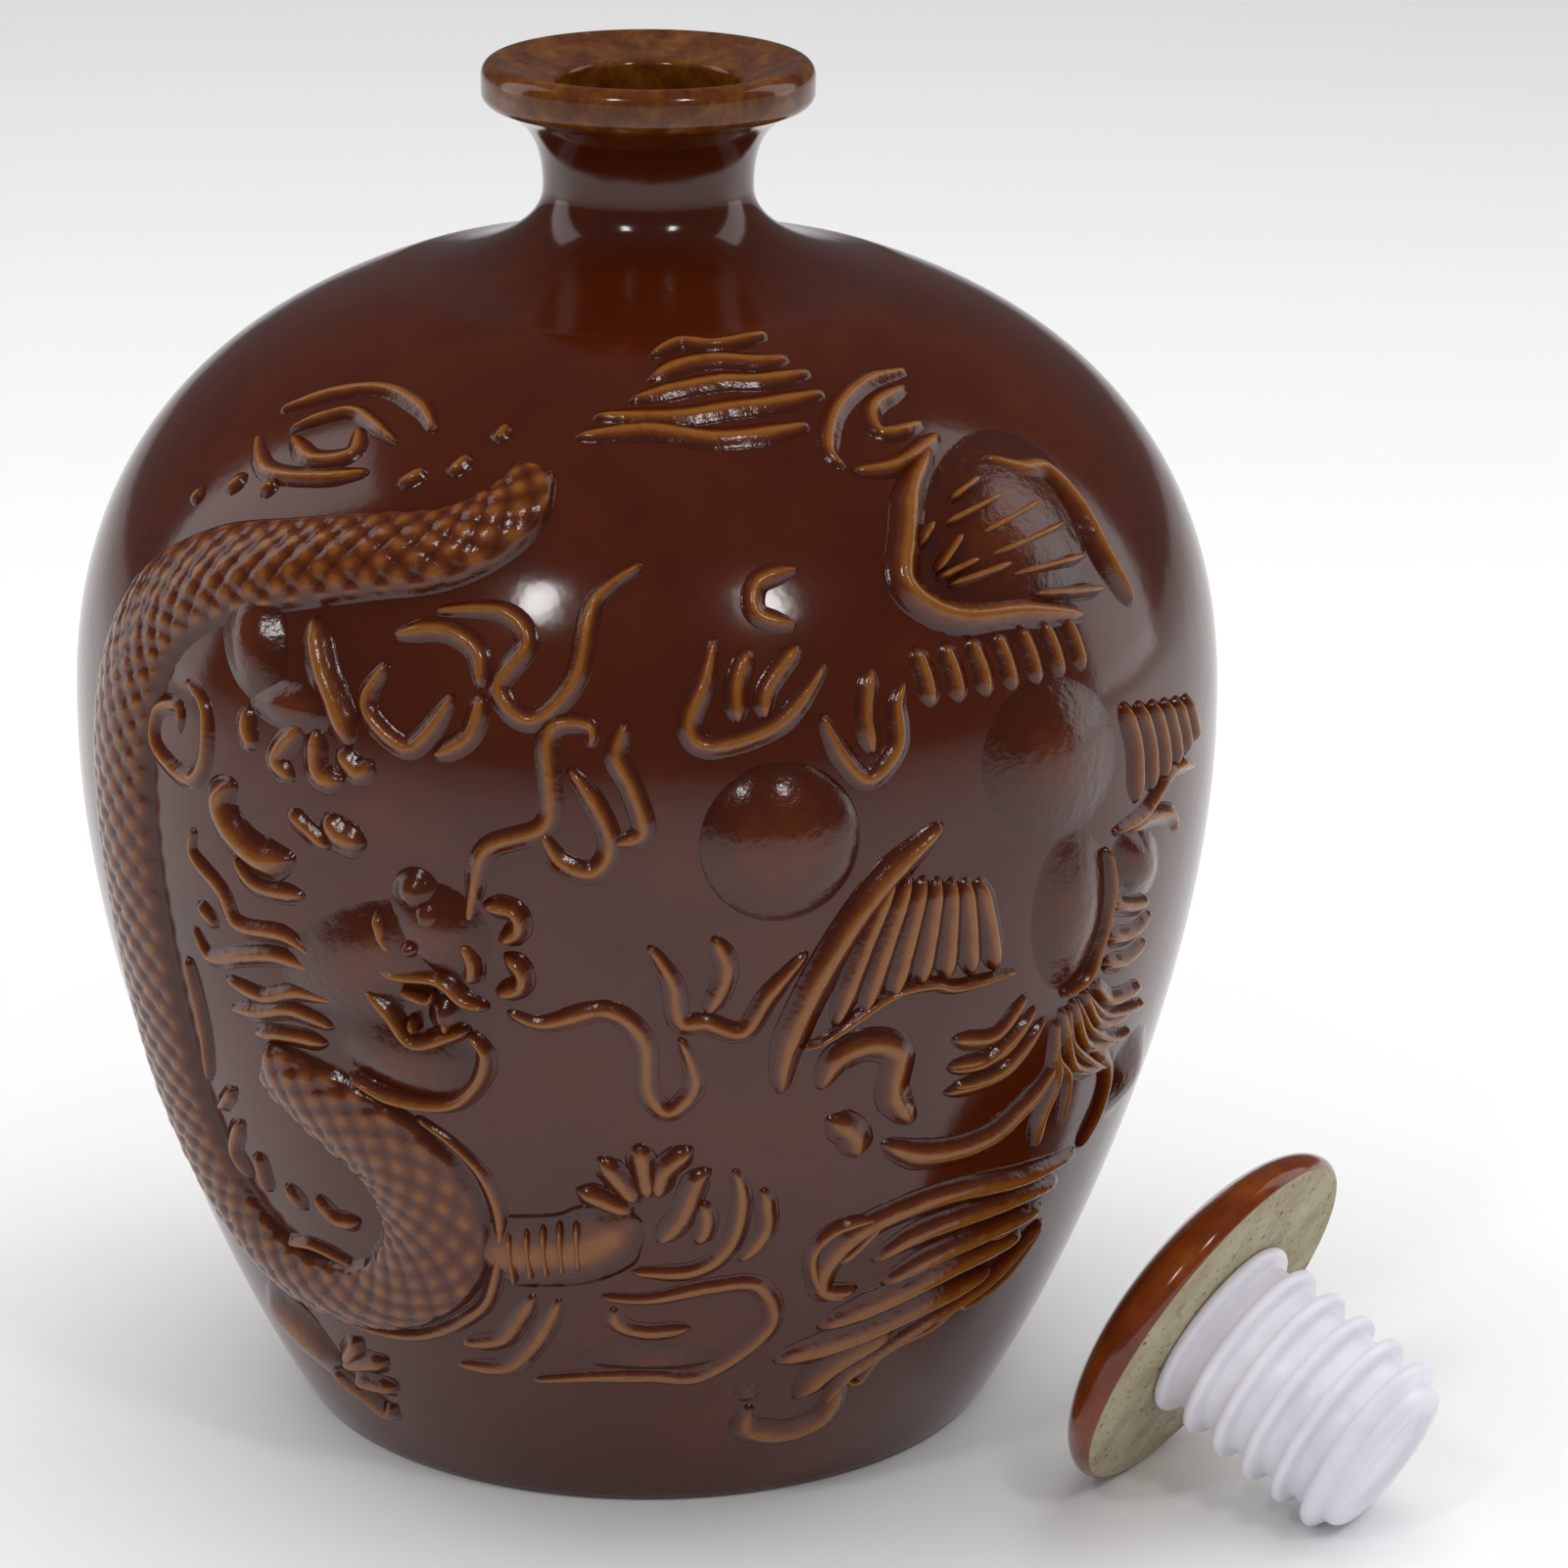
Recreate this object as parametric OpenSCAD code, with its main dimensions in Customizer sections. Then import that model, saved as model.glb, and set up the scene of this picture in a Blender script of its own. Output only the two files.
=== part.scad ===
// Martaban jar: a glazed stoneware storage jar with a dragon and a phoenix in raised relief,
// and its ribbed stopper lying beside it on the same surface.
// Origin: centre of the jar's foot. +Z up, the relief faces -Y.

/* [Jar body] */
// Greatest diameter of the belly
belly_d = 210; // [180:1:260]
// Height of the greatest diameter above the foot
belly_z = 132; // [120:1:145]
// Diameter of the flat foot
base_d = 125.6; // [105:0.1:140]
// Height of the jar over the lip
jar_h = 252.4; // [235:0.1:290]
// Thickness of the thrown wall
wall = 5; // [3:0.1:8]
// Thickness of the floor
floor_t = 8; // [5:0.1:11]

/* [Neck and mouth] */
// Bore of the neck and mouth
mouth_d = 32.8; // [26:0.1:33]
// Outer diameter of the neck at its waist
neck_d = 38; // [38:0.1:44]
// Height of the neck above its foot on the shoulder
neck_h = 22.9; // [20:0.1:28]
// Outer diameter of the lip
lip_d = 60; // [52:0.1:70]
// Height of the lip's outer face
lip_h = 8; // [6:0.1:10]
// Depth of the dish in the top of the lip
lip_dish = 3.4; // [1:0.1:4]

/* [Stopper] */
// Diameter of the ceramic cap
cap_d = 72; // [66:0.5:84]
// Height of the cap from its bare face to the top of its dome
cap_h = 14; // [11:0.5:20]
// Diameter over the sealing ribs
rib_d = 36.4; // [34:0.1:40]
// Diameter of the plug between the ribs
core_d = 31; // [28:0.1:32.4]
// Number of sealing ribs
rib_n = 6; // [4:1:7]
// Distance from rib to rib
rib_pitch = 6.8; // [6:0.1:8]
// Thickness of one rib
rib_t = 2.4; // [1.6:0.1:3]
// Length of the plug below the cap
plug_l = 40.5; // [38:0.1:60]
// Diameter of the plug's stem in the cap
stem_d = 22; // [18:0.1:26]
// Depth of the cap's socket for the stem
socket_h = 6; // [4:0.1:7]
// Thickness of the glue round the stem
glue_t = 0.8; // [0.4:0.1:1.2]
// Clear distance on the table between the belly and the middle of the cap
lay_gap = 13.4; // [13:0.1:40]
// Bearing of the stopper from the jar's axis, clockwise from +X
lay_at = 29.5; // [20:0.5:60]
// Turn of the stopper's axis, clockwise from +X
lay_turn = 35.5; // [20:0.5:60]

/* [Relief] */
// Height of the line relief above the wall
line_h = 2; // [1:0.1:3]
// Width of the line relief
line_w = 3.2; // [2:0.1:4]
// Height of the dragon's body above the wall
coil_h = 4; // [3:0.1:6]
// Depth to which the relief is worked into the wall
key = 0.8; // [0.5:0.1:1.2]
// Distance from scale to scale along the dragon
scale_pitch = 6.4; // [5.5:0.1:12]
// Rise of a scale above the dragon's body
scale_h = 0.9; // [0.3:0.1:1.5]
// Diameter of the flaming pearl
pearl_d = 28; // [20:0.5:30]
// Rise of the pearl above the wall
pearl_h = 5; // [3:0.1:7]

/* [Hidden] */
$fn = 96;

// Wall profile: foot fillet, swelling belly, shoulder, neck and lip, in the r-z plane.
belly_r = belly_d / 2;
base_r = base_d / 2;
neck_r = neck_d / 2;
mouth_r = mouth_d / 2;
lip_r = lip_d / 2;
foot_fillet = 3.5;
foot_lean = 56;
neck_z = jar_h - neck_h;
foot_pull = 22;
belly_pull = 50;
shoulder_pull = 15.5;
shoulder_reach = 60.7;
shoulder_lean = 19.6;
// The wall turns from the shoulder into the neck this far out from the neck and below its waist.
turn_out = 29.8;
turn_drop = 16.4;
neck_pull = 12;
turn_pull = 3;
wall_steps = 20;

function bezier(a, b, c, d, t) = pow(1 - t, 3) * a + 3 * t * pow(1 - t, 2) * b
    + 3 * t * t * (1 - t) * c + pow(t, 3) * d;
function arc(centre, r, from, to, n) = [for (i = [0:n])
    centre + r * [cos(from + (to - from) * i / n), sin(from + (to - from) * i / n)]];
function bezier_run(a, b, c, d, n) = [for (i = [1:n]) bezier(a, b, c, d, i / n)];

foot_arc = arc([base_r, foot_fillet], foot_fillet, -90, foot_lean - 90, 4);
foot_end = foot_arc[4];
belly = [belly_r, belly_z];
turn = [neck_r + turn_out, neck_z - turn_drop];
turn_dir = [-cos(shoulder_lean), sin(shoulder_lean)];
waist = [neck_r, neck_z];
lower_wall = bezier_run(foot_end, foot_end + foot_pull * [cos(foot_lean), sin(foot_lean)],
    belly - [0, belly_pull], belly, wall_steps);
shoulder = bezier_run(belly, belly + [0, shoulder_pull],
    turn - shoulder_reach * turn_dir, turn, wall_steps);
neck_foot = bezier_run(turn, turn + turn_pull * turn_dir, waist - [0, neck_pull], waist, 10);
outer_wall = concat(foot_arc, lower_wall, shoulder, neck_foot);

// Lip: the neck flares into the underside, the face is upright with round edges, the top is dished.
lip_low = jar_h - lip_h;
crown = 2.6;
lip_round = 2.4;
flare = bezier_run(waist, waist + [0, (lip_low - neck_z) * 0.6],
    [neck_r + 3.2, lip_low - 2.6], [lip_r - lip_round - 1, lip_low - 0.6], 8);
lip_face = concat(arc([lip_r - lip_round, lip_low + lip_round], lip_round, -70, 0, 4),
    arc([lip_r - crown, jar_h - crown], crown, 0, 100, 6));
mouth_round = 1.2;
mouth_z = jar_h - lip_dish;
dish = arc([mouth_r + mouth_round, mouth_z - mouth_round], mouth_round, 75, 180, 5);

// Inner wall: the outer one moved in square to itself, with a round corner at the floor.
function step(p, i) = p[min(i + 1, len(p) - 1)] - p[max(i - 1, 0)];
function inward(p, i, d) = p[i] + d * [-step(p, i)[1], step(p, i)[0]] / norm(step(p, i));
corner = 8;
corner_lean = 62;
throat_round = 3;
inside = concat(lower_wall, shoulder);
inner_wall = [for (i = [2:len(inside) - 1]) inward(inside, i, wall)];
corner_top = [for (p = inner_wall) if (p[1] > floor_t + corner) p];
corner_r = corner_top[0][0] - corner * 0.55;
floor_arc = bezier_run([corner_r - corner, floor_t], [corner_r, floor_t],
    corner_top[0] - 0.6 * corner * [cos(corner_lean), sin(corner_lean)], corner_top[0], 6);
last_in = corner_top[len(corner_top) - 1];
throat_z = last_in[1] + (last_in[0] - mouth_r) * tan(shoulder_lean) + throat_round;
throat = arc([mouth_r + throat_round, throat_z], throat_round, 270 - shoulder_lean, 180, 5);

function backwards(p) = [for (i = [len(p) - 1:-1:0]) p[i]];
cavity = concat([[0, floor_t], [corner_r - corner, floor_t]], floor_arc,
    [for (i = [1:len(corner_top) - 1]) corner_top[i]], throat);
jar_outline = concat([[0, 0]], outer_wall, flare, lip_face, dish, backwards(cavity));

// Places on the wall: bearing a in degrees from -Y towards +X, and way s in mm up the wall from the
// foot's edge. The relief is drawn for a wall 284 mm long up to the waist and follows a longer one.
drawn_len = 284;
function sums(p, i = 0, s = 0) = i >= len(p) ? [] :
    concat([s + (i > 0 ? norm(p[i] - p[i - 1]) : 0)],
        sums(p, i + 1, s + (i > 0 ? norm(p[i] - p[i - 1]) : 0)));
wall_way = sums(outer_wall);
wall_len = wall_way[len(wall_way) - 1];
way_scale = wall_len / drawn_len;
r_table = [for (i = [0:len(outer_wall) - 1]) [wall_way[i] / way_scale, outer_wall[i][0]]];
z_table = [for (i = [0:len(outer_wall) - 1]) [wall_way[i] / way_scale, outer_wall[i][1]]];
function wall_r(s) = lookup(s, r_table);
function wall_z(s) = lookup(s, z_table);
function wall_lean(s) = atan2(wall_z(s + 2) - wall_z(s - 2), wall_r(s + 2) - wall_r(s - 2));
function around(a, r, z) = [r * sin(a), -r * cos(a), z];
function on_wall(a, s, h) = around(a, wall_r(s) + h * sin(wall_lean(s)),
    wall_z(s) - h * cos(wall_lean(s)));

// Relief work. A smooth curve runs through the chosen points of each stroke.
function curve_at(p, i, t) = let (a = p[max(i - 1, 0)], b = p[i], c = p[i + 1],
    d = p[min(i + 2, len(p) - 1)])
    (2 * b + (c - a) * t + (2 * a - 5 * b + 4 * c - d) * t * t
    + (3 * b - a - 3 * c + d) * t * t * t) / 2;
function smooth(p, k) = concat([for (i = [0:len(p) - 2]) for (j = [0:k - 1]) curve_at(p, i, j / k)],
    [p[len(p) - 1]]);
function mm_per_degree(s) = wall_r(s) * PI / 180;
function heading(p, i) = let (d = step(p, i)) [d[0] * mm_per_degree(p[i][1]), d[1]];
function beside(q, way, o) = let (side = [-way[1], way[0]] / norm(way))
    [q[0] + o * side[0] / mm_per_degree(q[1]), q[1] + o * side[1]];
function section(p, i, w, h) = let (way = heading(p, i))
    [for (c = [[-1, -key], [-0.62, 0.78 * h], [0, h], [0.62, 0.78 * h], [1, -key]])
        let (q = beside(p[i], way, c[0] * w / 2)) on_wall(q[0], q[1], c[1])];
function taper(t) = min(1, 0.35 + 3 * t, 0.35 + 3 * (1 - t));

module wrap(points) {
    hull() polyhedron(points, [[for (i = [0:len(points) - 1]) i]]);
}

// One stroke of clay laid along a curve: a low crowned ridge that thins towards its ends.
module ridge(points, w = line_w, h = line_h, fine = 2) {
    run = smooth(points, fine);
    n = len(run) - 1;
    rings = [for (i = [0:n]) section(run, i, w * taper(i / n), h * (0.5 + 0.5 * taper(i / n)))];
    for (i = [0:n - 1]) wrap(concat(rings[i], rings[i + 1]));
}

module ridges(strokes, w = line_w, h = line_h, fine = 2) {
    for (points = strokes) ridge(points, w, h, fine);
}

// A low oval boss on the wall, half lengths la across and ls up, turned by the angle t.
module boss(a, s, la, ls, t, h) {
    rim = [for (k = [[1, -key], [1, 0.15 * h], [0.82, 0.62 * h], [0.45, 0.92 * h]]) for (u = [0:36:324])
        let (x = k[0] * la * cos(u), y = k[0] * ls * sin(u))
        on_wall(a + (x * cos(t) - y * sin(t)) / mm_per_degree(s), s + x * sin(t) + y * cos(t), k[1])];
    wrap(concat(rim, [on_wall(a, s, h)]));
}

// The dragon's body: a domed band along its coil, with staggered scales.
coil = [[-14, 214, 8], [-16, 205, 14], [-22, 198, 16], [-31, 194.5, 17], [-41, 190, 18], [-51, 184, 20],
    [-58.5, 173, 23], [-61.5, 155, 24], [-61.5, 135, 24], [-61, 115, 24], [-61, 95, 24], [-60.5, 78, 23],
    [-57, 62, 21], [-50, 51.5, 18], [-41, 48.5, 16], [-32, 51.5, 17], [-25.5, 61, 21], [-24, 72, 23],
    [-27, 84, 22], [-34, 92, 19], [-42, 98, 12]];
coil_run = smooth(coil, 4);
coil_way = sums([for (p = coil_run) [p[0] * mm_per_degree(p[1]), p[1]]]);
coil_len = coil_way[len(coil_way) - 1];
function coil_lookup(d, k) = lookup(d, [for (i = [0:len(coil_run) - 1]) [coil_way[i], coil_run[i][k]]]);
coil_rows = round(coil_len / scale_pitch * 2);
coil_mid = [for (i = [0:coil_rows])
    let (d = coil_len * i / coil_rows) [coil_lookup(d, 0), coil_lookup(d, 1), coil_lookup(d, 2)]];
coil_cols = 8;
function coil_height(i, j) = let (x = 2 * j / coil_cols - 1)
    coil_h * (0.15 + 0.85 * sqrt(1 - x * x)) * min(1, 0.4 + i / 8, 0.4 + (coil_rows - i) / 8)
    + ((i + j) % 2 == 0 && abs(x) < 0.9 ? scale_h : 0);
function coil_row(i) = let (way = heading(coil_mid, i), w = coil_mid[i][2])
    concat([for (j = [0:coil_cols]) let (q = beside(coil_mid[i], way, w * (j / coil_cols - 0.5)))
        on_wall(q[0], q[1], coil_height(i, j))],
        [for (o = [0.5, -0.5]) let (q = beside(coil_mid[i], way, w * o)) on_wall(q[0], q[1], -key)]);
function quads(rows, ring) = [for (i = [0:rows - 1]) for (j = [0:ring - 1])
    let (a = i * ring + j, b = i * ring + (j + 1) % ring) each [[a, b, b + ring], [a, b + ring, a + ring]]];
function fans(rows, ring) = [for (j = [1:ring - 2])
    each [[0, j + 1, j], [rows * ring, rows * ring + j, rows * ring + j + 1]]];

// Stopper, drawn along +Z from the cap's bare face to the tip of the plug.
cap_r = cap_d / 2;
rib_r = rib_d / 2;
core_r = core_d / 2;
stem_r = stem_d / 2;
cap_edge = 2.5;
rib_root = 1;
tip_step = 2.4;
tip_dish = 1.2;
stem_bore = 8;
last_rib = rib_t / 2 + rib_pitch * (rib_n - 1);
dome_steps = 16;
cap_outline = concat([[0, 0]], arc([cap_r - cap_edge, -cap_edge], cap_edge, 90, 0, 5),
    [for (i = [1:dome_steps - 1])
        [cap_r * cos(90 * i / dome_steps), -cap_edge - (cap_h - cap_edge) * sin(90 * i / dome_steps)]],
    [[0, -cap_h]]);
rib_edge = rib_t / 2;
function rib(z) = concat([[core_r, z - rib_edge - rib_root * 0.6]],
    arc([rib_r - rib_edge, z], rib_edge, -80, 80, 5), [[core_r, z + rib_edge + rib_root]]);
plug_outline = concat([[0, 0], [core_r + 1, 0]], arc([rib_r - rib_edge, rib_edge], rib_edge, -90, 80, 6),
    [[core_r, rib_t + rib_root]],
    [for (i = [1:rib_n - 1]) each rib(rib_edge + rib_pitch * i)],
    [[core_r, plug_l - tip_step]], arc([core_r - tip_step, plug_l - tip_step], tip_step, 0, 90, 4),
    [[core_r - tip_step - 2, plug_l], [core_r - tip_step - 3, plug_l - tip_dish], [0, plug_l - tip_dish]]);

// The stopper lies on the cap's edge and on its last rib.
tilt_a = (cap_r - cap_edge) - (rib_r - rib_edge);
tilt_b = last_rib + cap_edge;
lay_dip = acos((rib_edge - cap_edge) / norm([tilt_a, tilt_b])) - atan2(tilt_b, tilt_a);
lay_z = (cap_r - cap_edge) * cos(lay_dip) - cap_edge * sin(lay_dip) + cap_edge;
lay_out = belly_r + lay_gap;
module laid() {
    translate([lay_out * cos(lay_at), -lay_out * sin(lay_at), lay_z])
        rotate([0, 90 + lay_dip, -lay_turn]) children();
}

GLAZE = "#4a1d0b";
AMBER = "#6b3410";

module jar_body() {
    color(GLAZE) rotate_extrude() polygon(jar_outline);
}

module dragon_body() {
    ring = coil_cols + 3;
    color(AMBER) polyhedron([for (i = [0:coil_rows]) each coil_row(i)],
        concat(quads(coil_rows, ring), fans(coil_rows, ring)));
}

module dragon_head() {
    color(AMBER) {
        boss(-27, 124, 19, 9, 25, 4.6);
        boss(-20, 131, 8, 9, 60, 5);
        boss(-23.5, 105, 13, 7, -8, 4);
        ridges([[[-27, 126], [-24.5, 122.5], [-20, 122.5], [-17.5, 119], [-15, 118]],
            [[-28, 119.5], [-25.5, 115], [-23, 109.5], [-19, 112], [-17, 113.5]],
            [[-31, 100.5], [-26, 97.5], [-20, 98], [-16.8, 103], [-15.8, 109], [-17.5, 113]],
            [[-17.5, 131], [-16.5, 126], [-17, 122]],
            [[-15.5, 137], [-12.5, 136.5], [-12, 133], [-14, 130.5]],
            [[-13.5, 128.5], [-12, 126], [-12, 122.5], [-14.5, 121]],
            [[-26, 134], [-25.3, 129], [-24, 126]]], h = 4.4);
        boss(-22.5, 128, 2.4, 2.4, 0, 6);
        boss(-19.5, 115.5, 3, 3.6, 0, 4);
    }
}

module dragon_mane() {
    color(AMBER) {
        ridges([[[-32, 119.5], [-38, 120.5], [-43, 118.5], [-48, 116], [-50, 121]],
            [[-31, 114.5], [-36, 114.5], [-41, 111.5], [-46, 113]],
            [[-32, 109], [-37, 110.5], [-42, 108], [-46, 107]],
            [[-33, 105.5], [-38, 105], [-43, 103.5]],
            [[-34, 133.5], [-40, 133], [-43, 137.5]],
            [[-33, 122], [-37, 125], [-43, 124.5], [-45, 130], [-49, 135], [-48.5, 140]],
            [[-46, 122.5], [-49, 126]], [[-36, 148.5], [-31, 143]]]);
        ridge([[-35, 140], [-39, 138.5], [-43, 142], [-44.5, 147], [-42.5, 151]], 6, 4);
        ridge([[-31.5, 149.5], [-30, 146], [-27, 145]], 5, 3);
    }
}

module dragon_limbs() {
    color(AMBER) {
        boss(-42.5, 177, 11, 6.5, -60, 5);
        ridge([[-35.5, 182.5], [-33.5, 175], [-31, 168], [-29, 161.5]], 5, 3.4);
        ridges([[[-41.5, 165], [-41.5, 160.5], [-40, 157.5]], [[-34.5, 164], [-37.5, 157], [-35, 154]],
            [[-33, 164], [-32.5, 156], [-29.5, 155.5]], [[-30.5, 161], [-28, 157.5], [-26.5, 160]]], 4);
        boss(-36, 166.5, 9, 4, 0, 3);
        ridge([[-61, 35], [-56, 33], [-51, 29.5], [-46, 28]], 14, 4);
        ridges([[[-45, 28.5], [-42, 33], [-40, 36.5]], [[-46, 27.5], [-41, 30], [-36, 33]],
            [[-45, 24], [-40, 25], [-36, 26]], [[-50, 24], [-44, 20.5], [-40.5, 17.5], [-38.5, 20]]], 4, 3);
        ridge([[-20, 66], [-13, 67], [-7, 69], [-1, 76]], 12, 3.6);
        ridges([[[-1.5, 77], [-4.5, 79.5], [-7.5, 82]], [[-1, 79], [-3, 84], [-5, 89]],
            [[0, 80], [-0.5, 86], [-1, 92]], [[1, 80], [1.5, 86], [4.5, 91]],
            [[1, 70], [3.5, 76], [5, 84], [6.5, 86]]], 4, 3);
    }
}

module dragon_tail() {
    color(AMBER) {
        ridges([[[-10, 221.5], [0, 223.5], [8, 221.5], [15, 221.5], [23, 223]],
            [[-8, 226.5], [4, 226.5], [12, 228], [18, 228.5], [28, 230]],
            [[-3, 230.5], [5, 233.5], [12, 235], [19, 234.5], [28, 235.5]],
            [[0, 235.5], [5, 239.5], [12, 241], [20, 239.5], [26, 240]]], 4);
        ridges([[[-59.5, 198], [-60.5, 194]], [[-53.5, 203], [-55.5, 198.5]], [[-28, 212], [-31, 207.5]],
            [[-23, 216], [-25, 211]], [[-19.5, 223.5], [-20.5, 219]]]);
        ridges([[[-48.8, 82], [-52, 74], [-50, 68.5]], [[-47.5, 76], [-47.5, 67]], [[-44, 71], [-41.5, 66]],
            [[-39.5, 71], [-37, 66.5], [-33.5, 67.5]]], 3.4, 2.6);
    }
}

module phoenix_body() {
    color(AMBER) {
        boss(42, 155, 15, 13, -20, 3.6);
        boss(45, 126, 9, 14, 8, 4);
        boss(55.5, 130, 9, 5.5, -35, 4.4);
        ridges([[[53, 137], [58, 137.5], [62.5, 135], [64, 131]], [[51, 124.5], [56, 121.5], [59, 121]],
            [[51, 118], [56, 116], [60, 118]], [[51, 113], [55.5, 111], [60, 112.5]]]);
    }
}

module phoenix_wings() {
    color(AMBER) {
        boss(43, 196, 21, 15, 35, 4);
        ridge([[38, 214], [32.5, 207], [29.5, 199], [27.5, 190], [32, 183.5], [41, 181.5], [49, 178]], 5, 4.2);
        ridge([[44, 210], [49, 205.5], [53, 204], [55, 196], [55.5, 186], [57.5, 176]], 5, 4);
        ridges([for (a = [27:3.2:49]) [[a, 179.5], [a + 0.8, 174], [a + 1, 168.5]]]);
        ridges([for (k = [0:5]) [[52.5 + 2.6 * k, 161 - k], [54.2 + 2.7 * k, 152 - k * 0.8],
            [54.4 + 2.8 * k, 141.5 + k * 0.8]]], 4, 3);
        ridge([[50.5, 138], [56, 139], [62, 144], [68, 141.5]], 3, 2.4);
        ridge([[28.5, 148.5], [22, 139], [17, 126], [13.5, 111], [13, 101]], 5, 3.6);
        ridges([for (k = [0:6]) [[23.5 + 1.5 * k, 141 - 0.6 * k], [20.8 + 2.2 * k, 129],
            [18 + 2.9 * k, 113.5 + min(k, 3) * 1.8]]], 4, 3);
    }
}

module phoenix_tail() {
    color(AMBER) {
        ridges([for (k = [0:3]) [[50 - 1.5 * k, 110 - k], [54 - 1.5 * k, 104 - 3.6 * k],
            [61 - 1.6 * k, 103 - 4.6 * k]]], 3.4, 2.6);
        ridges([for (k = [0:2]) [[40 + 1.6 * k, 112.5 - 3 * k], [36.5 + 1.2 * k, 105.5 - 4 * k],
            [31, 107 - 5.5 * k]]]);
        ridges([[[17, 101], [18.5, 107], [22, 109], [25, 106], [25, 98], [28, 91]],
            [[24.5, 88], [30, 83.5], [38, 83.5], [44, 90], [46.5, 96]],
            [[18, 95], [21, 91], [22, 85.5]]], 5, 3);
        ridges([[[45, 100], [47, 92], [46, 84], [46.5, 77]], [[52, 95.5], [57, 89], [58.5, 80], [56.5, 71]]],
            4, 2.6);
        boss(64, 83, 8.5, 8.5, 0, 4);
        ridges([[[56, 71], [46, 71], [34, 73], [25, 70], [20.5, 63], [20.5, 56], [25, 55]],
            [[54, 66], [44, 66.5], [32, 65.5], [26, 61]], [[52, 60.5], [43, 60.5], [34, 58.5], [28, 55]]], 5, 3);
        ridges([[[50, 56], [40, 55], [30, 51], [20.5, 47]], [[46, 50], [36, 47], [26, 43], [15.5, 40]]], 6, 3);
        ridge([[54, 57], [46, 47.5], [36, 42], [27, 34], [24, 26]], 4, 2.8);
        ridge([[26, 32], [24.5, 23], [19, 20], [13.5, 23], [13.5, 29]], 5, 3);
        ridge([[32, 43], [24, 36.5], [19.5, 29]], 6, 3);
        boss(12.8, 32.5, 2.4, 2.4, 0, 2);
    }
}

module pearl() {
    rise_r = (pearl_d * pearl_d / 4 + pearl_h * pearl_h) / (2 * pearl_h);
    color(AMBER) translate(on_wall(12.3, 148.5, 0)) rotate([180 - wall_lean(148.5), 0, 12.3])
        intersection() {
            translate([0, 0, pearl_h - rise_r]) sphere(rise_r);
            translate([0, 0, -2 * key]) cylinder(h = 2 * key + pearl_h + 1, d = pearl_d);
        }
}

module clouds() {
    color(AMBER) {
        ridges([[[-51, 165.5], [-47.5, 162], [-47, 153], [-49.5, 148.5], [-55, 152], [-55, 158.5],
                [-51.5, 160.5], [-51, 156]],
            [[-26, 181.5], [-21, 183.5], [-17, 180.5], [-16.3, 174]],
            [[-26, 177], [-27.8, 169], [-23.5, 163], [-21, 166], [-18.8, 173]],
            [[-16, 173.5], [-17, 166], [-20.5, 162]],
            [[-57, 216], [-50, 223.5], [-42, 227], [-34, 224.5], [-29.5, 219.5]],
            [[-57, 210.5], [-51, 205], [-42, 206.5], [-35.5, 209.5]],
            [[-51, 212.5], [-45, 209.5], [-39.5, 212.5], [-41.5, 218]],
            [[8.8, 86], [9.8, 79], [8.8, 69], [5, 63.5], [-2, 63.5]], [[12, 81.5], [12.7, 72], [10, 65]],
            [[5.7, 79.5], [6.2, 74], [5.2, 69.5]],
            [[-5.5, 57.5], [0, 57], [7, 59.5], [12.5, 59], [14.5, 49], [7, 38], [0, 38], [-7, 37.5], [-15, 35.5]],
            [[-4, 55], [-3.5, 51], [0, 49], [5, 50]],
            [[25, 212.5], [24, 217.5], [28, 225.5], [36, 231], [45, 231.5]],
            [[40, 219.5], [32.5, 219], [34, 225], [42, 228]], [[25.5, 212], [32, 212], [41, 216.5]]]);
        boss(0, 42.5, 12, 3, 0, 2);
    }
}

module flames() {
    color(AMBER) {
        ridges([[[-22, 186.5], [-15, 187.5], [-12, 182.5], [-14.5, 174.5], [-11, 169.5], [-7, 177], [-5.5, 190],
                [-0.5, 197]],
            [[-5.5, 165], [-5.5, 169], [-9.3, 168], [-9, 156], [-10, 151], [-15, 147], [-16.3, 139], [-17, 132]],
            [[-10, 151], [-8, 145.5], [-5, 144], [-3.5, 149], [-5, 156], [-7.5, 162]],
            [[-3.5, 149], [-0.5, 151], [-1.5, 158.5], [-3, 164], [-2, 170]],
            [[6.5, 184], [5.5, 177], [3.8, 169], [6, 165.5], [12.5, 169], [17.5, 178.5]],
            [[10, 182], [8.5, 176], [8.5, 169]], [[15, 182], [11.5, 175], [11, 169.5]],
            [[16, 195], [11.5, 193], [11, 187.5], [15, 185]],
            [[16.5, 170], [18.5, 162], [21, 158], [24, 163], [24.3, 170], [25.5, 174]],
            [[22, 177], [21, 169], [21.5, 162]],
            [[-13.5, 117.5], [-10, 115.5], [-4, 118.5], [-0.5, 113], [0, 103], [2, 98.5], [4.5, 104], [3, 113.5]],
            [[0, 131], [2.2, 124], [3, 116.5], [5.5, 116], [9, 114], [11.5, 121], [15, 128.5]],
            [[6, 132.5], [7.3, 125.5], [5.5, 117.5]],
            [[-23.5, 42.5], [-18, 45], [-15, 51.5], [-13, 57]],
            [[-25, 37], [-18, 38], [-13.5, 45.5], [-10, 56.5]]]);
    }
}

module stopper_cap() {
    color(GLAZE) laid() difference() {
        rotate_extrude() polygon(cap_outline);
        translate([0, 0, -socket_h]) cylinder(h = socket_h + 1, r = stem_r + glue_t);
    }
}

module stopper_plug() {
    color("#e6e4ec") laid() difference() {
        union() {
            rotate_extrude() polygon(plug_outline);
            translate([0, 0, glue_t - socket_h]) cylinder(h = socket_h, r = stem_r);
        }
        translate([0, 0, -socket_h]) cylinder(h = socket_h + last_rib, r = stem_bore);
    }
}

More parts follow.
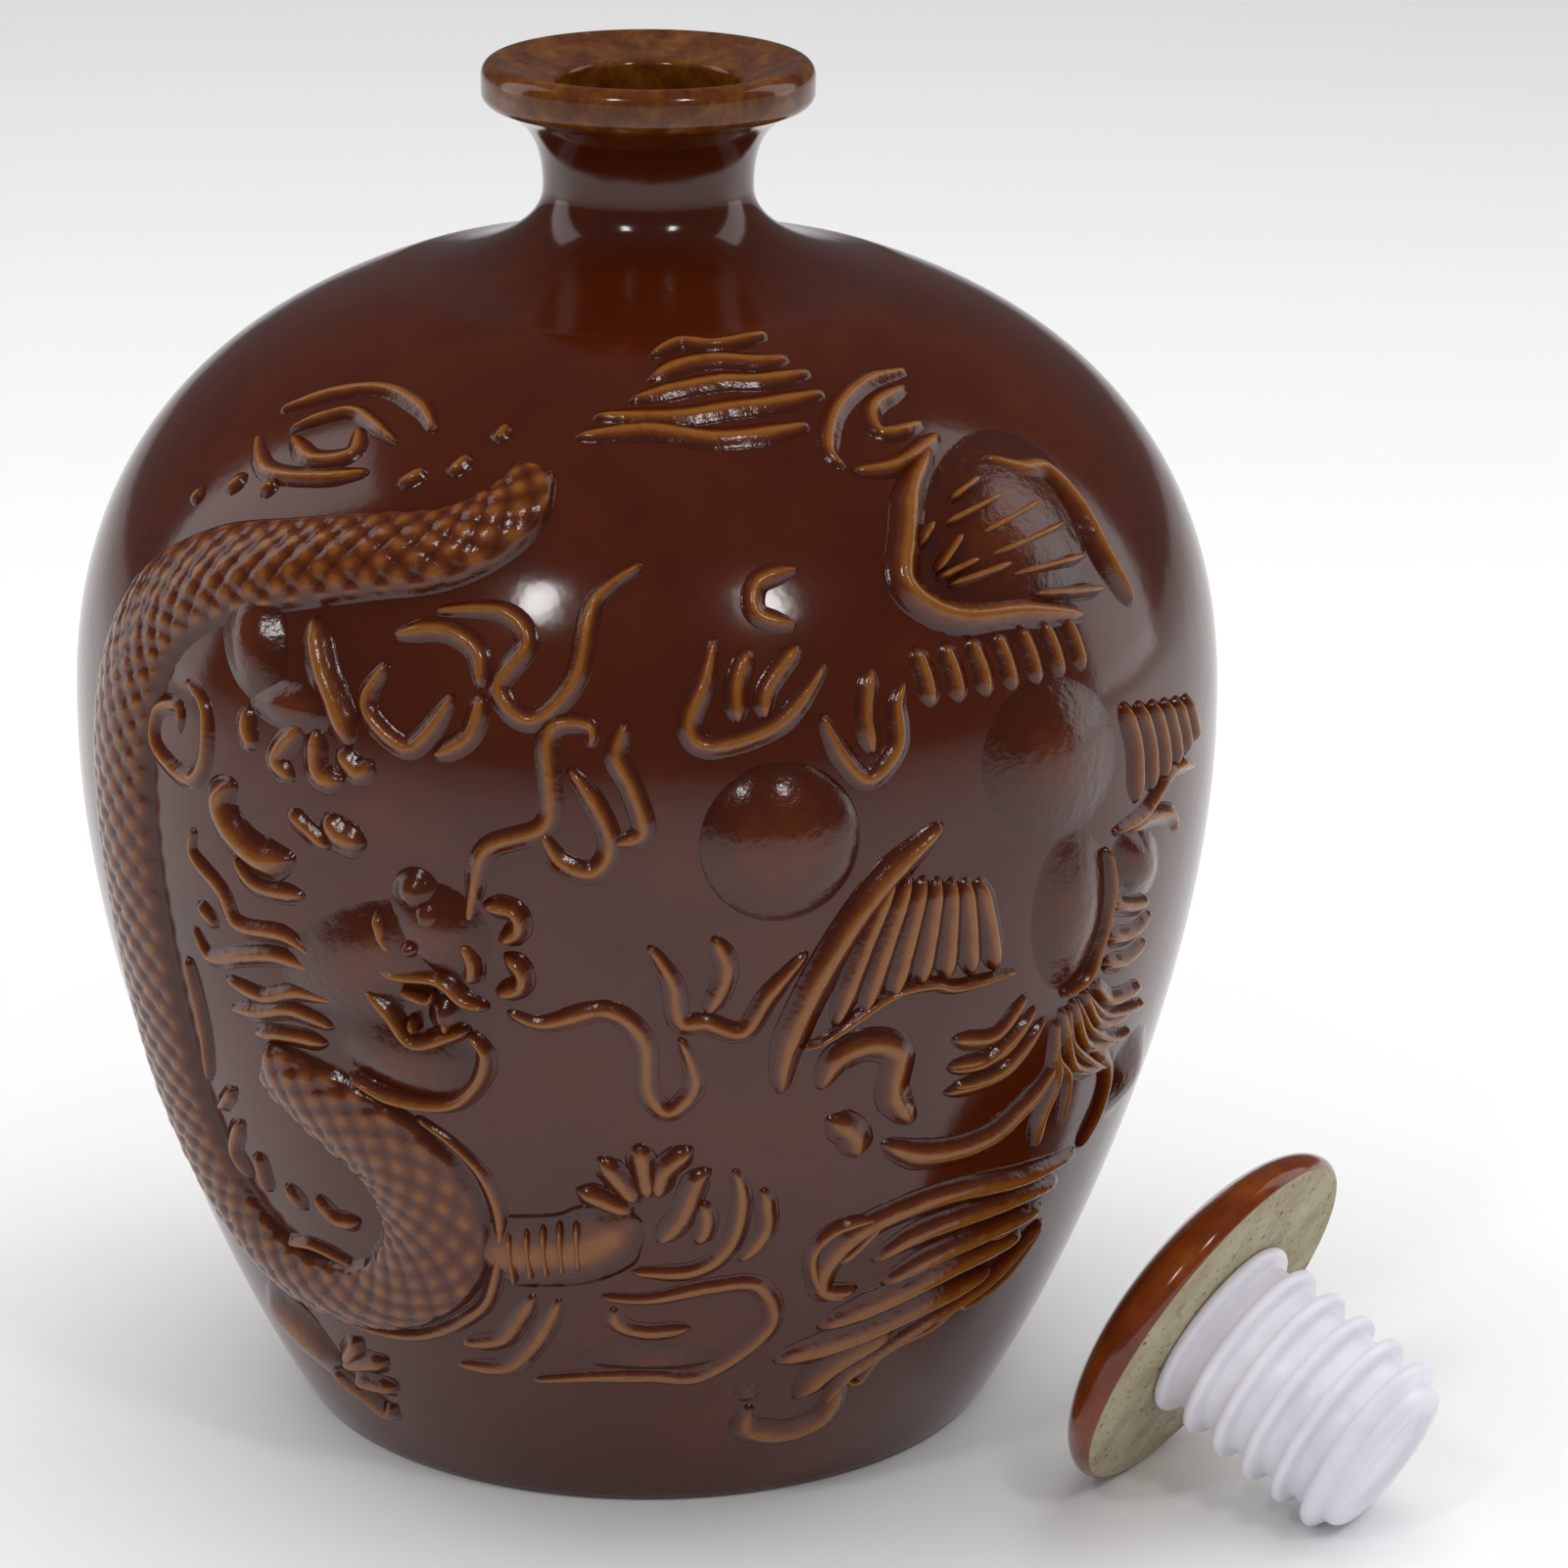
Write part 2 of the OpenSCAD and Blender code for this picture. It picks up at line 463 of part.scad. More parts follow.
module plug_glue() {
    color("#f4f2ec") laid() {
        difference() {
            translate([0, 0, -socket_h]) cylinder(h = socket_h, r = stem_r + glue_t);
            translate([0, 0, glue_t - socket_h]) cylinder(h = socket_h, r = stem_r);
        }
    }
}

jar_body();
dragon_body();
dragon_head();
dragon_limbs();
dragon_mane();
dragon_tail();
phoenix_body();
phoenix_wings();
phoenix_tail();
pearl();
clouds();
flames();
stopper_cap();
stopper_plug();
plug_glue();
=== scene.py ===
import math

import bmesh
import bpy
import numpy as np
from mathutils import Matrix, Vector


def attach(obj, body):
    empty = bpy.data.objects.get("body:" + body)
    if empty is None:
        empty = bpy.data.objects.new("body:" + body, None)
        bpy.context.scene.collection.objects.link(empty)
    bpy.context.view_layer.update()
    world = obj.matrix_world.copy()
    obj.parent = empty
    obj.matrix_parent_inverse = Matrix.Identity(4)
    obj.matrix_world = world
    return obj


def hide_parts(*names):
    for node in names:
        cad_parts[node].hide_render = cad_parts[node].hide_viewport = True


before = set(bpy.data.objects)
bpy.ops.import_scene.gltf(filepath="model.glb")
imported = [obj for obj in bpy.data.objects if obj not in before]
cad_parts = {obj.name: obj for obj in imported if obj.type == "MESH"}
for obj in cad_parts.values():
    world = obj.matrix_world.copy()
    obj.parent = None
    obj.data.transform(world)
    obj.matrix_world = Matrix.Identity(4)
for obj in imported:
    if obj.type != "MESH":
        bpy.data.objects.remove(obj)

bl_info = {
    "name": "Martaban jar",
    "version": (1, 0, 0),
    "blender": (4, 5, 0),
    "location": "3D View > Sidebar > Jar",
    "description": "Builds the look of a glazed storage jar with a dragon and a phoenix in relief",
    "category": "Object",
}

MM = 0.001

# Curves of the thrown wall, in mm and degrees. A pull is the length of a curve's handle.
FOOT_FILLET = 3.5
FOOT_LEAN = 56
FOOT_PULL = 22
BELLY_PULL = 50
SHOULDER_PULL = 15.5
SHOULDER_REACH = 60.7
SHOULDER_FALL = 19.6
# The shoulder turns into the neck this far out from the neck's waist and below it.
TURN_OUT = 29.8
TURN_DROP = 16.4
TURN_PULL = 3
NECK_PULL = 12
LIP_ROUND = 2.4
LIP_CROWN = 2.6
MOUTH_ROUND = 1.2
FLOOR_CORNER = 8
CORNER_LEAN = 62
THROAT_ROUND = 3

# The relief is drawn for a wall of this length from the foot's edge to the waist, in mm.
DRAWN_LENGTH = 284

# Fired relief is softer than it was drawn: lower and wider, by these factors. Its edges are tucked
# TUCK mm under the wall's glaze, and a stroke's underside has this part of its width.
STROKE_KEEP = 0.62
STROKE_SPREAD = 1.44
MOUND_KEEP = 0.6
MOUND_SPREAD = 1.15
TUCK = 0.03
UNDER_WIDTH = 0.9

# Refractive index of the glaze, and the heights in metres over which it turns amber on the lip.
GLAZE_IOR = 1.5
AMBER_FROM = 0.2405
AMBER_TO = 0.2455

# Camera of the photo: focal length and side of the picture in pixels, and the pixel that the axis of
# the lens passes through; then its place in metres, and its fall below level in degrees.
FOCAL_PX = 5963
PICTURE_PX = 1601
MIDDLE_PX = (662, 829.5)
CAMERA_PLACE = (0, -1.0318, 0.4581)
CAMERA_FALL = 18.63
SENSOR_MM = 36

# Clay on the wall. A place is (bearing in degrees from -Y towards +X, way in mm up the wall from the
# foot's edge). A mound is bearing, way, half lengths across and up, turn and height. A group of
# strokes is width, height and the places of each stroke.
MOUNDS = {
    "dragon_head": [
        (-27, 124, 19, 9, 25, 4.6),
        (-20, 131, 8, 9, 60, 5),
        (-23.5, 105, 13, 7, -8, 4),
        (-22.5, 128, 2.4, 2.4, 0, 6),
        (-19.5, 115.5, 3, 3.6, 0, 4),
        (-22, 138, 4, 4, 0, 4.4),
        (-20.5, 134, 4, 4, 0, 5),
    ],
    "dragon_limbs": [
        (-42.5, 177, 11, 6.5, -60, 5),
        (-36, 166.5, 9, 4, 0, 3),
    ],
    "phoenix_body": [
        (42, 155, 15, 13, -20, 3.6),
        (45, 126, 9, 14, 8, 4),
        (55.5, 130, 9, 5.5, -35, 4.4),
    ],
    "phoenix_wings": [
        (43, 196, 21, 15, 35, 4),
    ],
    "phoenix_tail": [
        (64, 83, 8.5, 8.5, 0, 4),
        (12.8, 32.5, 2.4, 2.4, 0, 2),
    ],
    "clouds": [
        (0, 42.5, 12, 3, 0, 2),
    ],
}

STROKES = {
    "dragon_body": [
        (2.6, 2.4, [
            [(-45, 42), (-35, 41), (-27, 44), (-20, 52), (-17.5, 60), (-16, 72), (-17, 82),
             (-20, 89), (-24, 94)],
            [(-51, 61), (-49, 56), (-42, 58), (-36, 56)],
            [(-52, 114), (-51.5, 100), (-53, 88)],
            [(-52.5, 82.5), (-48.5, 89)],
        ]),
    ],
    "dragon_head": [
        (3.2, 4.4, [
            [(-27, 126), (-24.5, 122.5), (-20, 122.5), (-17.5, 119), (-15, 118)],
            [(-28, 119.5), (-25.5, 115), (-23, 109.5), (-19, 112), (-17, 113.5)],
            [(-31, 100.5), (-26, 97.5), (-20, 98), (-16.8, 103), (-15.8, 109), (-17.5, 113)],
            [(-17.5, 131), (-16.5, 126), (-17, 122)],
            [(-15.5, 137), (-12.5, 136.5), (-12, 133), (-14, 130.5)],
            [(-13.5, 128.5), (-12, 126), (-12, 122.5), (-14.5, 121)],
            [(-26, 134), (-25.3, 129), (-24, 126)],
        ]),
        (2, 5, [
            [(-24, 120), (-21, 118.5), (-20.5, 120.5)],
            [(-23, 115), (-22.6, 111.5)],
            [(-19.5, 116), (-19.3, 112.5)],
        ]),
    ],
    "dragon_mane": [
        (3.2, 2, [
            [(-32, 119.5), (-38, 120.5), (-43, 118.5), (-48, 116), (-50, 121)],
            [(-31, 114.5), (-36, 114.5), (-41, 111.5), (-46, 113)],
            [(-32, 109), (-37, 110.5), (-42, 108), (-46, 107)],
            [(-33, 105.5), (-38, 105), (-43, 103.5)],
            [(-34, 133.5), (-40, 133), (-43, 137.5)],
            [(-33, 122), (-37, 125), (-43, 124.5), (-45, 130), (-49, 135), (-48.5, 140)],
            [(-46, 122.5), (-49, 126)],
            [(-36, 148.5), (-31, 143)],
        ]),
        (6, 4, [[(-35, 140), (-39, 138.5), (-43, 142), (-44.5, 147), (-42.5, 151)]]),
        (5, 3, [[(-31.5, 149.5), (-30, 146), (-27, 145)]]),
    ],
    "dragon_limbs": [
        (5, 3.4, [[(-35.5, 182.5), (-33.5, 175), (-31, 168), (-29, 161.5)]]),
        (4, 2, [
            [(-41.5, 165), (-41.5, 160.5), (-40, 157.5)],
            [(-34.5, 164), (-37.5, 157), (-35, 154)],
            [(-33, 164), (-32.5, 156), (-29.5, 155.5)],
            [(-30.5, 161), (-28, 157.5), (-26.5, 160)],
        ]),
        (14, 4, [[(-61, 35), (-56, 33), (-51, 29.5), (-46, 28)]]),
        (4, 3, [
            [(-45, 28.5), (-42, 33), (-40, 36.5)],
            [(-46, 27.5), (-41, 30), (-36, 33)],
            [(-45, 24), (-40, 25), (-36, 26)],
            [(-50, 24), (-44, 20.5), (-40.5, 17.5), (-38.5, 20)],
        ]),
        (12, 3.6, [[(-20, 66), (-13, 67), (-7, 69), (-1, 76)]]),
        (4, 3, [
            [(-1.5, 77), (-4.5, 79.5), (-7.5, 82)],
            [(-1, 79), (-3, 84), (-5, 89)],
            [(0, 80), (-0.5, 86), (-1, 92)],
            [(1, 80), (1.5, 86), (4.5, 91)],
            [(1, 70), (3.5, 76), (5, 84), (6.5, 86)],
        ]),
        (1.8, 4.4, [
            [(-15, 59.5), (-15, 72)],
            [(-13, 61), (-13, 73)],
            [(-11.2, 62), (-11.2, 74)],
            [(-9.4, 63), (-9.4, 75)],
            [(-7.6, 64), (-7.6, 75.5)],
        ]),
    ],
    "dragon_tail": [
        (4, 2, [
            [(-10, 221.5), (0, 223.5), (8, 221.5), (15, 221.5), (23, 223)],
            [(-8, 226.5), (4, 226.5), (12, 228), (18, 228.5), (28, 230)],
            [(-3, 230.5), (5, 233.5), (12, 235), (19, 234.5), (28, 235.5)],
            [(0, 235.5), (5, 239.5), (12, 241), (20, 239.5), (26, 240)],
        ]),
        (3.2, 2, [
            [(-59.5, 198), (-60.5, 194)],
            [(-53.5, 203), (-55.5, 198.5)],
            [(-28, 212), (-31, 207.5)],
            [(-23, 216), (-25, 211)],
            [(-19.5, 223.5), (-20.5, 219)],
        ]),
        (3.4, 2.6, [
            [(-48.8, 82), (-52, 74), (-50, 68.5)],
            [(-47.5, 76), (-47.5, 67)],
            [(-44, 71), (-41.5, 66)],
            [(-39.5, 71), (-37, 66.5), (-33.5, 67.5)],
        ]),
        (3, 2.6, [
            [(0, 242), (6, 246), (13, 245), (25, 247)],
            [(-48, 204), (-49.5, 200)],
        ]),
    ],
    "phoenix_body": [
        (3.2, 2, [
            [(53, 137), (58, 137.5), (62.5, 135), (64, 131)],
            [(51, 124.5), (56, 121.5), (59, 121)],
            [(51, 118), (56, 116), (60, 118)],
            [(51, 113), (55.5, 111), (60, 112.5)],
        ]),
        (2.4, 3.6, [[(49.5, 136), (50.5, 128), (50, 120), (48.5, 112), (45, 109.5)]]),
    ],
    "phoenix_wings": [
        (5, 4.2, [
            [(38, 214), (32.5, 207), (29.5, 199), (27.5, 190), (32, 183.5), (41, 181.5),
             (49, 178)],
        ]),
        (5, 4, [[(44, 210), (49, 205.5), (53, 204), (55, 196), (55.5, 186), (57.5, 176)]]),
        (3, 2.4, [[(50.5, 138), (56, 139), (62, 144), (68, 141.5)]]),
        (5, 3.6, [[(28.5, 148.5), (22, 139), (17, 126), (13.5, 111), (13, 101)]]),
        (3.2, 2, [[(27 + 3.2 * k, 179.5), (27.8 + 3.2 * k, 174), (28 + 3.2 * k, 168.5)]
                  for k in range(7)]),
        (4, 3, [[(52.5 + 2.6 * k, 161 - k), (54.2 + 2.7 * k, 152 - 0.8 * k),
                 (54.4 + 2.8 * k, 141.5 + 0.8 * k)] for k in range(6)]),
        (4, 3, [[(23.5 + 1.5 * k, 141 - 0.6 * k), (20.8 + 2.2 * k, 129),
                 (18 + 2.9 * k, 113.5 + 1.8 * min(k, 3))] for k in range(7)]),
        (2.2, 4.8, [
            [(31, 191), (36, 197)],
            [(31, 190), (37, 192)],
            [(32, 188.5), (41, 190)],
            [(30, 196), (33, 200)],
            [(36, 203), (42, 206)],
            [(34, 199), (44, 202)],
            [(38, 196), (49, 199)],
            [(38, 192), (51, 194)],
            [(40, 188), (52, 187.5)],
            [(42, 184), (53, 181)],
        ]),
        (2.2, 3, [
            [(14.5, 110), (17, 111), (20, 114.5), (24, 118.5), (28, 119), (31, 117.5),
             (38, 118)],
        ]),
    ],
    "phoenix_tail": [
        (5, 3, [
            [(17, 101), (18.5, 107), (22, 109), (25, 106), (25, 98), (28, 91)],
            [(24.5, 88), (30, 83.5), (38, 83.5), (44, 90), (46.5, 96)],
            [(18, 95), (21, 91), (22, 85.5)],
        ]),
        (4, 2.6, [
            [(45, 100), (47, 92), (46, 84), (46.5, 77)],
            [(52, 95.5), (57, 89), (58.5, 80), (56.5, 71)],
        ]),
        (5, 3, [
            [(56, 71), (46, 71), (34, 73), (25, 70), (20.5, 63), (20.5, 56), (25, 55)],
            [(54, 66), (44, 66.5), (32, 65.5), (26, 61)],
            [(52, 60.5), (43, 60.5), (34, 58.5), (28, 55)],
        ]),
        (6, 3, [
            [(50, 56), (40, 55), (30, 51), (20.5, 47)],
            [(46, 50), (36, 47), (26, 43), (15.5, 40)],
        ]),
        (4, 2.8, [[(54, 57), (46, 47.5), (36, 42), (27, 34), (24, 26)]]),
        (5, 3, [[(26, 32), (24.5, 23), (19, 20), (13.5, 23), (13.5, 29)]]),
        (6, 3, [[(32, 43), (24, 36.5), (19.5, 29)]]),
        (3.4, 2.6, [[(50 - 1.5 * k, 110 - k), (54 - 1.5 * k, 104 - 3.6 * k),
                     (61 - 1.6 * k, 103 - 4.6 * k)] for k in range(4)]),
        (3.2, 2, [[(40 + 1.6 * k, 112.5 - 3 * k), (36.5 + 1.2 * k, 105.5 - 4 * k),
                   (31, 107 - 5.5 * k)] for k in range(3)]),
        (2.6, 2.6, [
            [(48.5, 109), (53, 102), (60, 99), (63, 98.5)],
            [(47.5, 108), (51, 100), (57, 94.5), (61, 94)],
            [(46.5, 107), (48, 99), (53, 92), (57, 88.5)],
            [(45, 105), (46, 97), (49, 91), (50, 80)],
            [(31, 101), (36, 101), (41, 108)],
            [(32, 97), (38, 98), (43, 106)],
            [(26, 71.5), (21, 70.5), (18.5, 66), (19, 60), (21, 55), (24, 54)],
            [(26.5, 71), (24, 66), (21.5, 62)],
            [(34, 59), (39, 60.5), (43, 61.5)],
            [(43, 58.5), (52, 62)],
            [(26, 33), (28.5, 31), (31, 38), (38, 41), (41, 44.5), (43, 43.5), (48, 46),
             (51, 50), (54, 56)],
        ]),
    ],
    "clouds": [
        (3.2, 2, [
            [(-51, 165.5), (-47.5, 162), (-47, 153), (-49.5, 148.5), (-55, 152), (-55, 158.5),
             (-51.5, 160.5), (-51, 156)],
            [(-26, 181.5), (-21, 183.5), (-17, 180.5), (-16.3, 174)],
            [(-26, 177), (-27.8, 169), (-23.5, 163), (-21, 166), (-18.8, 173)],
            [(-16, 173.5), (-17, 166), (-20.5, 162)],
            [(-57, 216), (-50, 223.5), (-42, 227), (-34, 224.5), (-29.5, 219.5)],
            [(-57, 210.5), (-51, 205), (-42, 206.5), (-35.5, 209.5)],
            [(-51, 212.5), (-45, 209.5), (-39.5, 212.5), (-41.5, 218)],
            [(8.8, 86), (9.8, 79), (8.8, 69), (5, 63.5), (-2, 63.5)],
            [(12, 81.5), (12.7, 72), (10, 65)],
            [(5.7, 79.5), (6.2, 74), (5.2, 69.5)],
            [(-5.5, 57.5), (0, 57), (7, 59.5), (12.5, 59), (14.5, 49), (7, 38), (0, 38),
             (-7, 37.5), (-15, 35.5)],
            [(-4, 55), (-3.5, 51), (0, 49), (5, 50)],
            [(25, 212.5), (24, 217.5), (28, 225.5), (36, 231), (45, 231.5)],
            [(40, 219.5), (32.5, 219), (34, 225), (42, 228)],
            [(25.5, 212), (32, 212), (41, 216.5)],
        ]),
        (2.6, 2.2, [[(-52, 213), (-48, 218), (-43, 220.5), (-34, 216)]]),
    ],
    "flames": [
        (3.2, 2, [
            [(-22, 186.5), (-15, 187.5), (-12, 182.5), (-14.5, 174.5), (-11, 169.5), (-7, 177),
             (-5.5, 190), (-0.5, 197)],
            [(-5.5, 165), (-5.5, 169), (-9.3, 168), (-9, 156), (-10, 151), (-15, 147),
             (-16.3, 139), (-17, 132)],
            [(-10, 151), (-8, 145.5), (-5, 144), (-3.5, 149), (-5, 156), (-7.5, 162)],
            [(-3.5, 149), (-0.5, 151), (-1.5, 158.5), (-3, 164), (-2, 170)],
            [(6.5, 184), (5.5, 177), (3.8, 169), (6, 165.5), (12.5, 169), (17.5, 178.5)],
            [(10, 182), (8.5, 176), (8.5, 169)],
            [(15, 182), (11.5, 175), (11, 169.5)],
            [(16, 195), (11.5, 193), (11, 187.5), (15, 185)],
            [(16.5, 170), (18.5, 162), (21, 158), (24, 163), (24.3, 170), (25.5, 174)],
            [(22, 177), (21, 169), (21.5, 162)],
            [(-13.5, 117.5), (-10, 115.5), (-4, 118.5), (-0.5, 113), (0, 103), (2, 98.5),
             (4.5, 104), (3, 113.5)],
            [(0, 131), (2.2, 124), (3, 116.5), (5.5, 116), (9, 114), (11.5, 121), (15, 128.5)],
            [(6, 132.5), (7.3, 125.5), (5.5, 117.5)],
            [(-23.5, 42.5), (-18, 45), (-15, 51.5), (-13, 57)],
            [(-25, 37), (-18, 38), (-13.5, 45.5), (-10, 56.5)],
        ]),
    ],
}

# The dragon's body runs through these places: bearing, way and width in mm.
COIL = [
    (-14, 214, 8), (-16, 205, 14), (-22, 198, 16), (-31, 194.5, 17), (-41, 190, 18), (-51, 184, 20),
    (-58.5, 173, 23), (-61.5, 155, 24), (-61.5, 135, 24), (-61, 115, 24), (-61, 95, 24),
    (-60.5, 78, 23), (-57, 62, 21), (-50, 51.5, 18), (-41, 48.5, 16), (-32, 51.5, 17),
    (-25.5, 61, 21), (-24, 72, 23), (-27, 84, 22), (-34, 92, 19), (-42, 98, 12),
]

# The flaming pearl's middle: bearing and way.
PEARL = (12.3, 148.5)


# Settings.

def linear(hex_colour):
    """sRGB hex colour as linear RGBA: c / 12.92 below 0.04045, else ((c + 0.055) / 1.055) to 2.4."""
    srgb = [int(hex_colour[i:i + 2], 16) / 255 for i in (1, 3, 5)]
    rgb = [c / 12.92 if c <= 0.04045 else ((c + 0.055) / 1.055) ** 2.4 for c in srgb]
    return (*rgb, 1.0)


def length(name, text, value):
    """A setting that holds a length in metres."""
    return bpy.props.FloatProperty(
        name=name, description=text, default=value, unit="LENGTH", subtype="DISTANCE", precision=4)


def angle(name, text, degrees):
    """A setting that holds an angle."""
    return bpy.props.FloatProperty(
        name=name, description=text, default=math.radians(degrees), unit="ROTATION", subtype="ANGLE")


def power(name, text, watts):
    """A setting that holds a power in watts."""
    return bpy.props.FloatProperty(name=name, description=text, default=watts, unit="POWER")


def colour(name, text, hex_colour):
    """A setting that holds a colour."""
    return bpy.props.FloatVectorProperty(
        name=name, description=text, default=linear(hex_colour), size=4, min=0, max=1, subtype="COLOR")


class JarShape(bpy.types.PropertyGroup):
    """Sizes of the thrown jar."""
    belly_r: length("Belly radius", "Greatest radius of the belly", 0.105)
    belly_z: length("Belly height", "Height of the greatest radius", 0.132)
    base_r: length("Base radius", "Radius of the flat foot", 0.0628)
    jar_h: length("Height", "Height over the lip", 0.2524)
    neck_r: length("Neck radius", "Outer radius of the neck at its waist", 0.019)
    neck_h: length("Neck height", "Height of the neck above its waist", 0.0229)
    lip_r: length("Lip radius", "Outer radius of the lip", 0.03)
    lip_h: length("Lip height", "Height of the lip's outer face", 0.008)
    lip_dish: length("Lip dish", "Depth of the dish in the top of the lip", 0.0034)
    mouth_r: length("Mouth radius", "Radius of the mouth and the neck's bore", 0.0164)
    wall: length("Wall", "Thickness of the wall", 0.005)
    floor_t: length("Floor", "Thickness of the floor", 0.008)
    segments: bpy.props.IntProperty(
        name="Segments", description="Segments round the jar", default=288, min=64, max=720)


class ReliefShape(bpy.types.PropertyGroup):
    """Sizes of the raised ornament."""
    key: length("Key", "Depth to which the relief is worked into the wall", 0.0006)
    step: length("Step", "Distance from section to section along a stroke", 0.0009)
    coil_step: length("Body step", "Distance from section to section along the dragon", 0.0007)
    coil_h: length("Body height", "Height of the dragon's body above the wall", 0.003)
    scale_pitch: length("Scale pitch", "Distance from scale to scale", 0.0058)
    scale_h: length("Scale height", "Rise of a scale above the body", 0.0013)
    pearl_r: length("Pearl radius", "Radius of the flaming pearl", 0.014)
    pearl_h: length("Pearl height", "Rise of the pearl above the wall", 0.005)


class StopperShape(bpy.types.PropertyGroup):
    """Sizes and place of the stopper that lies beside the jar."""
    cap_r: length("Cap radius", "Radius of the ceramic cap", 0.036)
    cap_h: length("Cap height", "Height of the dome over the bare face", 0.014)
    cap_edge: length("Cap edge", "Radius of the cap's edge", 0.0025)
    rib_r: length("Rib radius", "Outer radius of the sealing ribs", 0.0182)
    rib_t: length("Rib thickness", "Thickness of one rib", 0.0024)
    rib_pitch: length("Rib pitch", "Distance from rib to rib", 0.0068)
    rib_n: bpy.props.IntProperty(name="Ribs", description="Number of sealing ribs", default=6)
    core_r: length("Core radius", "Radius of the plug between the ribs", 0.0155)
    plug_l: length("Plug length", "Length of the plug below the cap", 0.0405)
    lay_out: length("Distance", "Distance from the jar's axis to the cap", 0.1184)
    lay_z: length("Cap centre", "Height of the cap's middle above the floor", 0.0316756)
    lay_at: angle("Bearing", "Bearing of the cap, clockwise from +X", 29.5)
    lay_dip: angle("Dip", "Dip of the plug's axis below level", 25.4476)
    lay_turn: angle("Turn", "Turn of the stopper's axis, clockwise from +X", 35.5)


class Finishes(bpy.types.PropertyGroup):
    """Colours of the glazes, the bare clay, the plastic and the stage."""
    glaze_dark: colour("Glaze, thick", "Brown glaze, thick", "#3c1304")
    glaze: colour("Glaze", "Brown glaze", "#431604")
    glaze_light: colour("Glaze, thin", "Brown glaze, thin", "#4c1b06")
    lip_dark: colour("Lip, thick", "Lip's glaze, thick", "#3c1606")
    lip: colour("Lip", "Lip's glaze", "#5c3009")
    lip_light: colour("Lip, thin", "Lip's glaze, thin", "#7f5018")
    pool: colour("Relief, foot", "Glaze that pools beside the relief", "#381104")
    flank: colour("Relief, low", "Glaze low on the relief", "#421604")
    shoulder: colour("Relief, high", "Glaze high on the relief", "#5a290a")
    crest: colour("Relief, crest", "Glaze on the relief's crests", "#7c4a16")
    cap_dark: colour("Cap, thick", "Cap's glaze, thick", "#54200a")
    cap: colour("Cap", "Cap's glaze", "#6b2c0c")
    cap_light: colour("Cap, thin", "Cap's glaze, thin", "#85410f")
    clay_dark: colour("Clay, dark", "Dark clouds of the bare clay", "#938766")
    clay: colour("Clay", "Bare clay", "#a59a7d")
    clay_light: colour("Clay, light", "Light clouds of the bare clay", "#b5ab90")
    clay_speck: colour("Clay, specks", "Specks in the bare clay", "#5f4f38")
    plastic_dark: colour("Plastic, dark", "Dark clouds of the plastic", "#dedbe6")
    plastic: colour("Plastic", "Milky plastic", "#ebe9f0")
    glue_dark: colour("Glue, dark", "Dark clouds of the glue", "#ecebe4")
    glue: colour("Glue", "Hot glue", "#f6f5f0")
    floor: colour("Floor", "Pale floor", "#fafaf9")
    backdrop: colour("Backdrop", "What the camera sees", "#ffffff")
    surroundings: colour("Surroundings", "What lights the part", "#c4c4c6")
    room: colour("Room", "What glossy surfaces show", "#58585a")


class StageLook(bpy.types.PropertyGroup):
    """Light of the product shot."""
    key_power: power("Softboxes", "Power of each of the two softboxes in front", 1.8)
    side_power: power("Sides", "Power of each of the two panels at the sides", 2.6)
    top_power: power("Overhead", "Power of the broad light overhead", 15.0)
    world_level: bpy.props.FloatProperty(
        name="Surroundings", description="Strength of the surroundings", default=1.0)
    floor_side: length("Floor side", "Side of the square floor", 12.0)


# Profiles and the wall, in mm. A profile is an array of (radius, height).

def bezier(a, b, c, d, n):
    """Cubic curve from a to d with handles b and c, in n steps of t: (1-t)^3 a + 3t(1-t)^2 b
    + 3t^2(1-t) c + t^3 d."""
    t = np.linspace(0, 1, n + 1)[1:, None]
    a, b, c, d = (np.asarray(p, float) for p in (a, b, c, d))
    return (1 - t) ** 3 * a + 3 * t * (1 - t) ** 2 * b + 3 * t * t * (1 - t) * c + t ** 3 * d


def arc(centre, r, start, end, n):
    """Points centre + r (cos u, sin u) for u from start to end in degrees, in n steps."""
    u = np.radians(np.linspace(start, end, n + 1))
    return np.asarray(centre, float) + r * np.stack([np.cos(u), np.sin(u)], 1)


def towards(degrees):
    """Unit vector (cos u, sin u)."""
    u = math.radians(degrees)
    return np.array([math.cos(u), math.sin(u)])


def wall_curves(jar):
    """Outer wall from the foot's edge to the waist: foot fillet, swelling belly, shoulder and neck.
    Each curve starts the way the one below it ends."""
    base_r, neck_r = jar.base_r / MM, jar.neck_r / MM
    belly = np.array([jar.belly_r / MM, jar.belly_z / MM])
    waist = np.array([neck_r, (jar.jar_h - jar.neck_h) / MM])
    turn = waist + (TURN_OUT, -TURN_DROP)
    up_shoulder = towards(180 - SHOULDER_FALL)
    foot = arc((base_r, FOOT_FILLET), FOOT_FILLET, -90, FOOT_LEAN - 90, 8)
    lower = bezier(foot[-1], foot[-1] + FOOT_PULL * towards(FOOT_LEAN), belly - (0, BELLY_PULL), belly, 60)
    shoulder = bezier(belly, belly + (0, SHOULDER_PULL), turn - SHOULDER_REACH * up_shoulder, turn, 60)
    neck = bezier(turn, turn + TURN_PULL * up_shoulder, waist - (0, NECK_PULL), waist, 28)
    return foot, lower, shoulder, neck


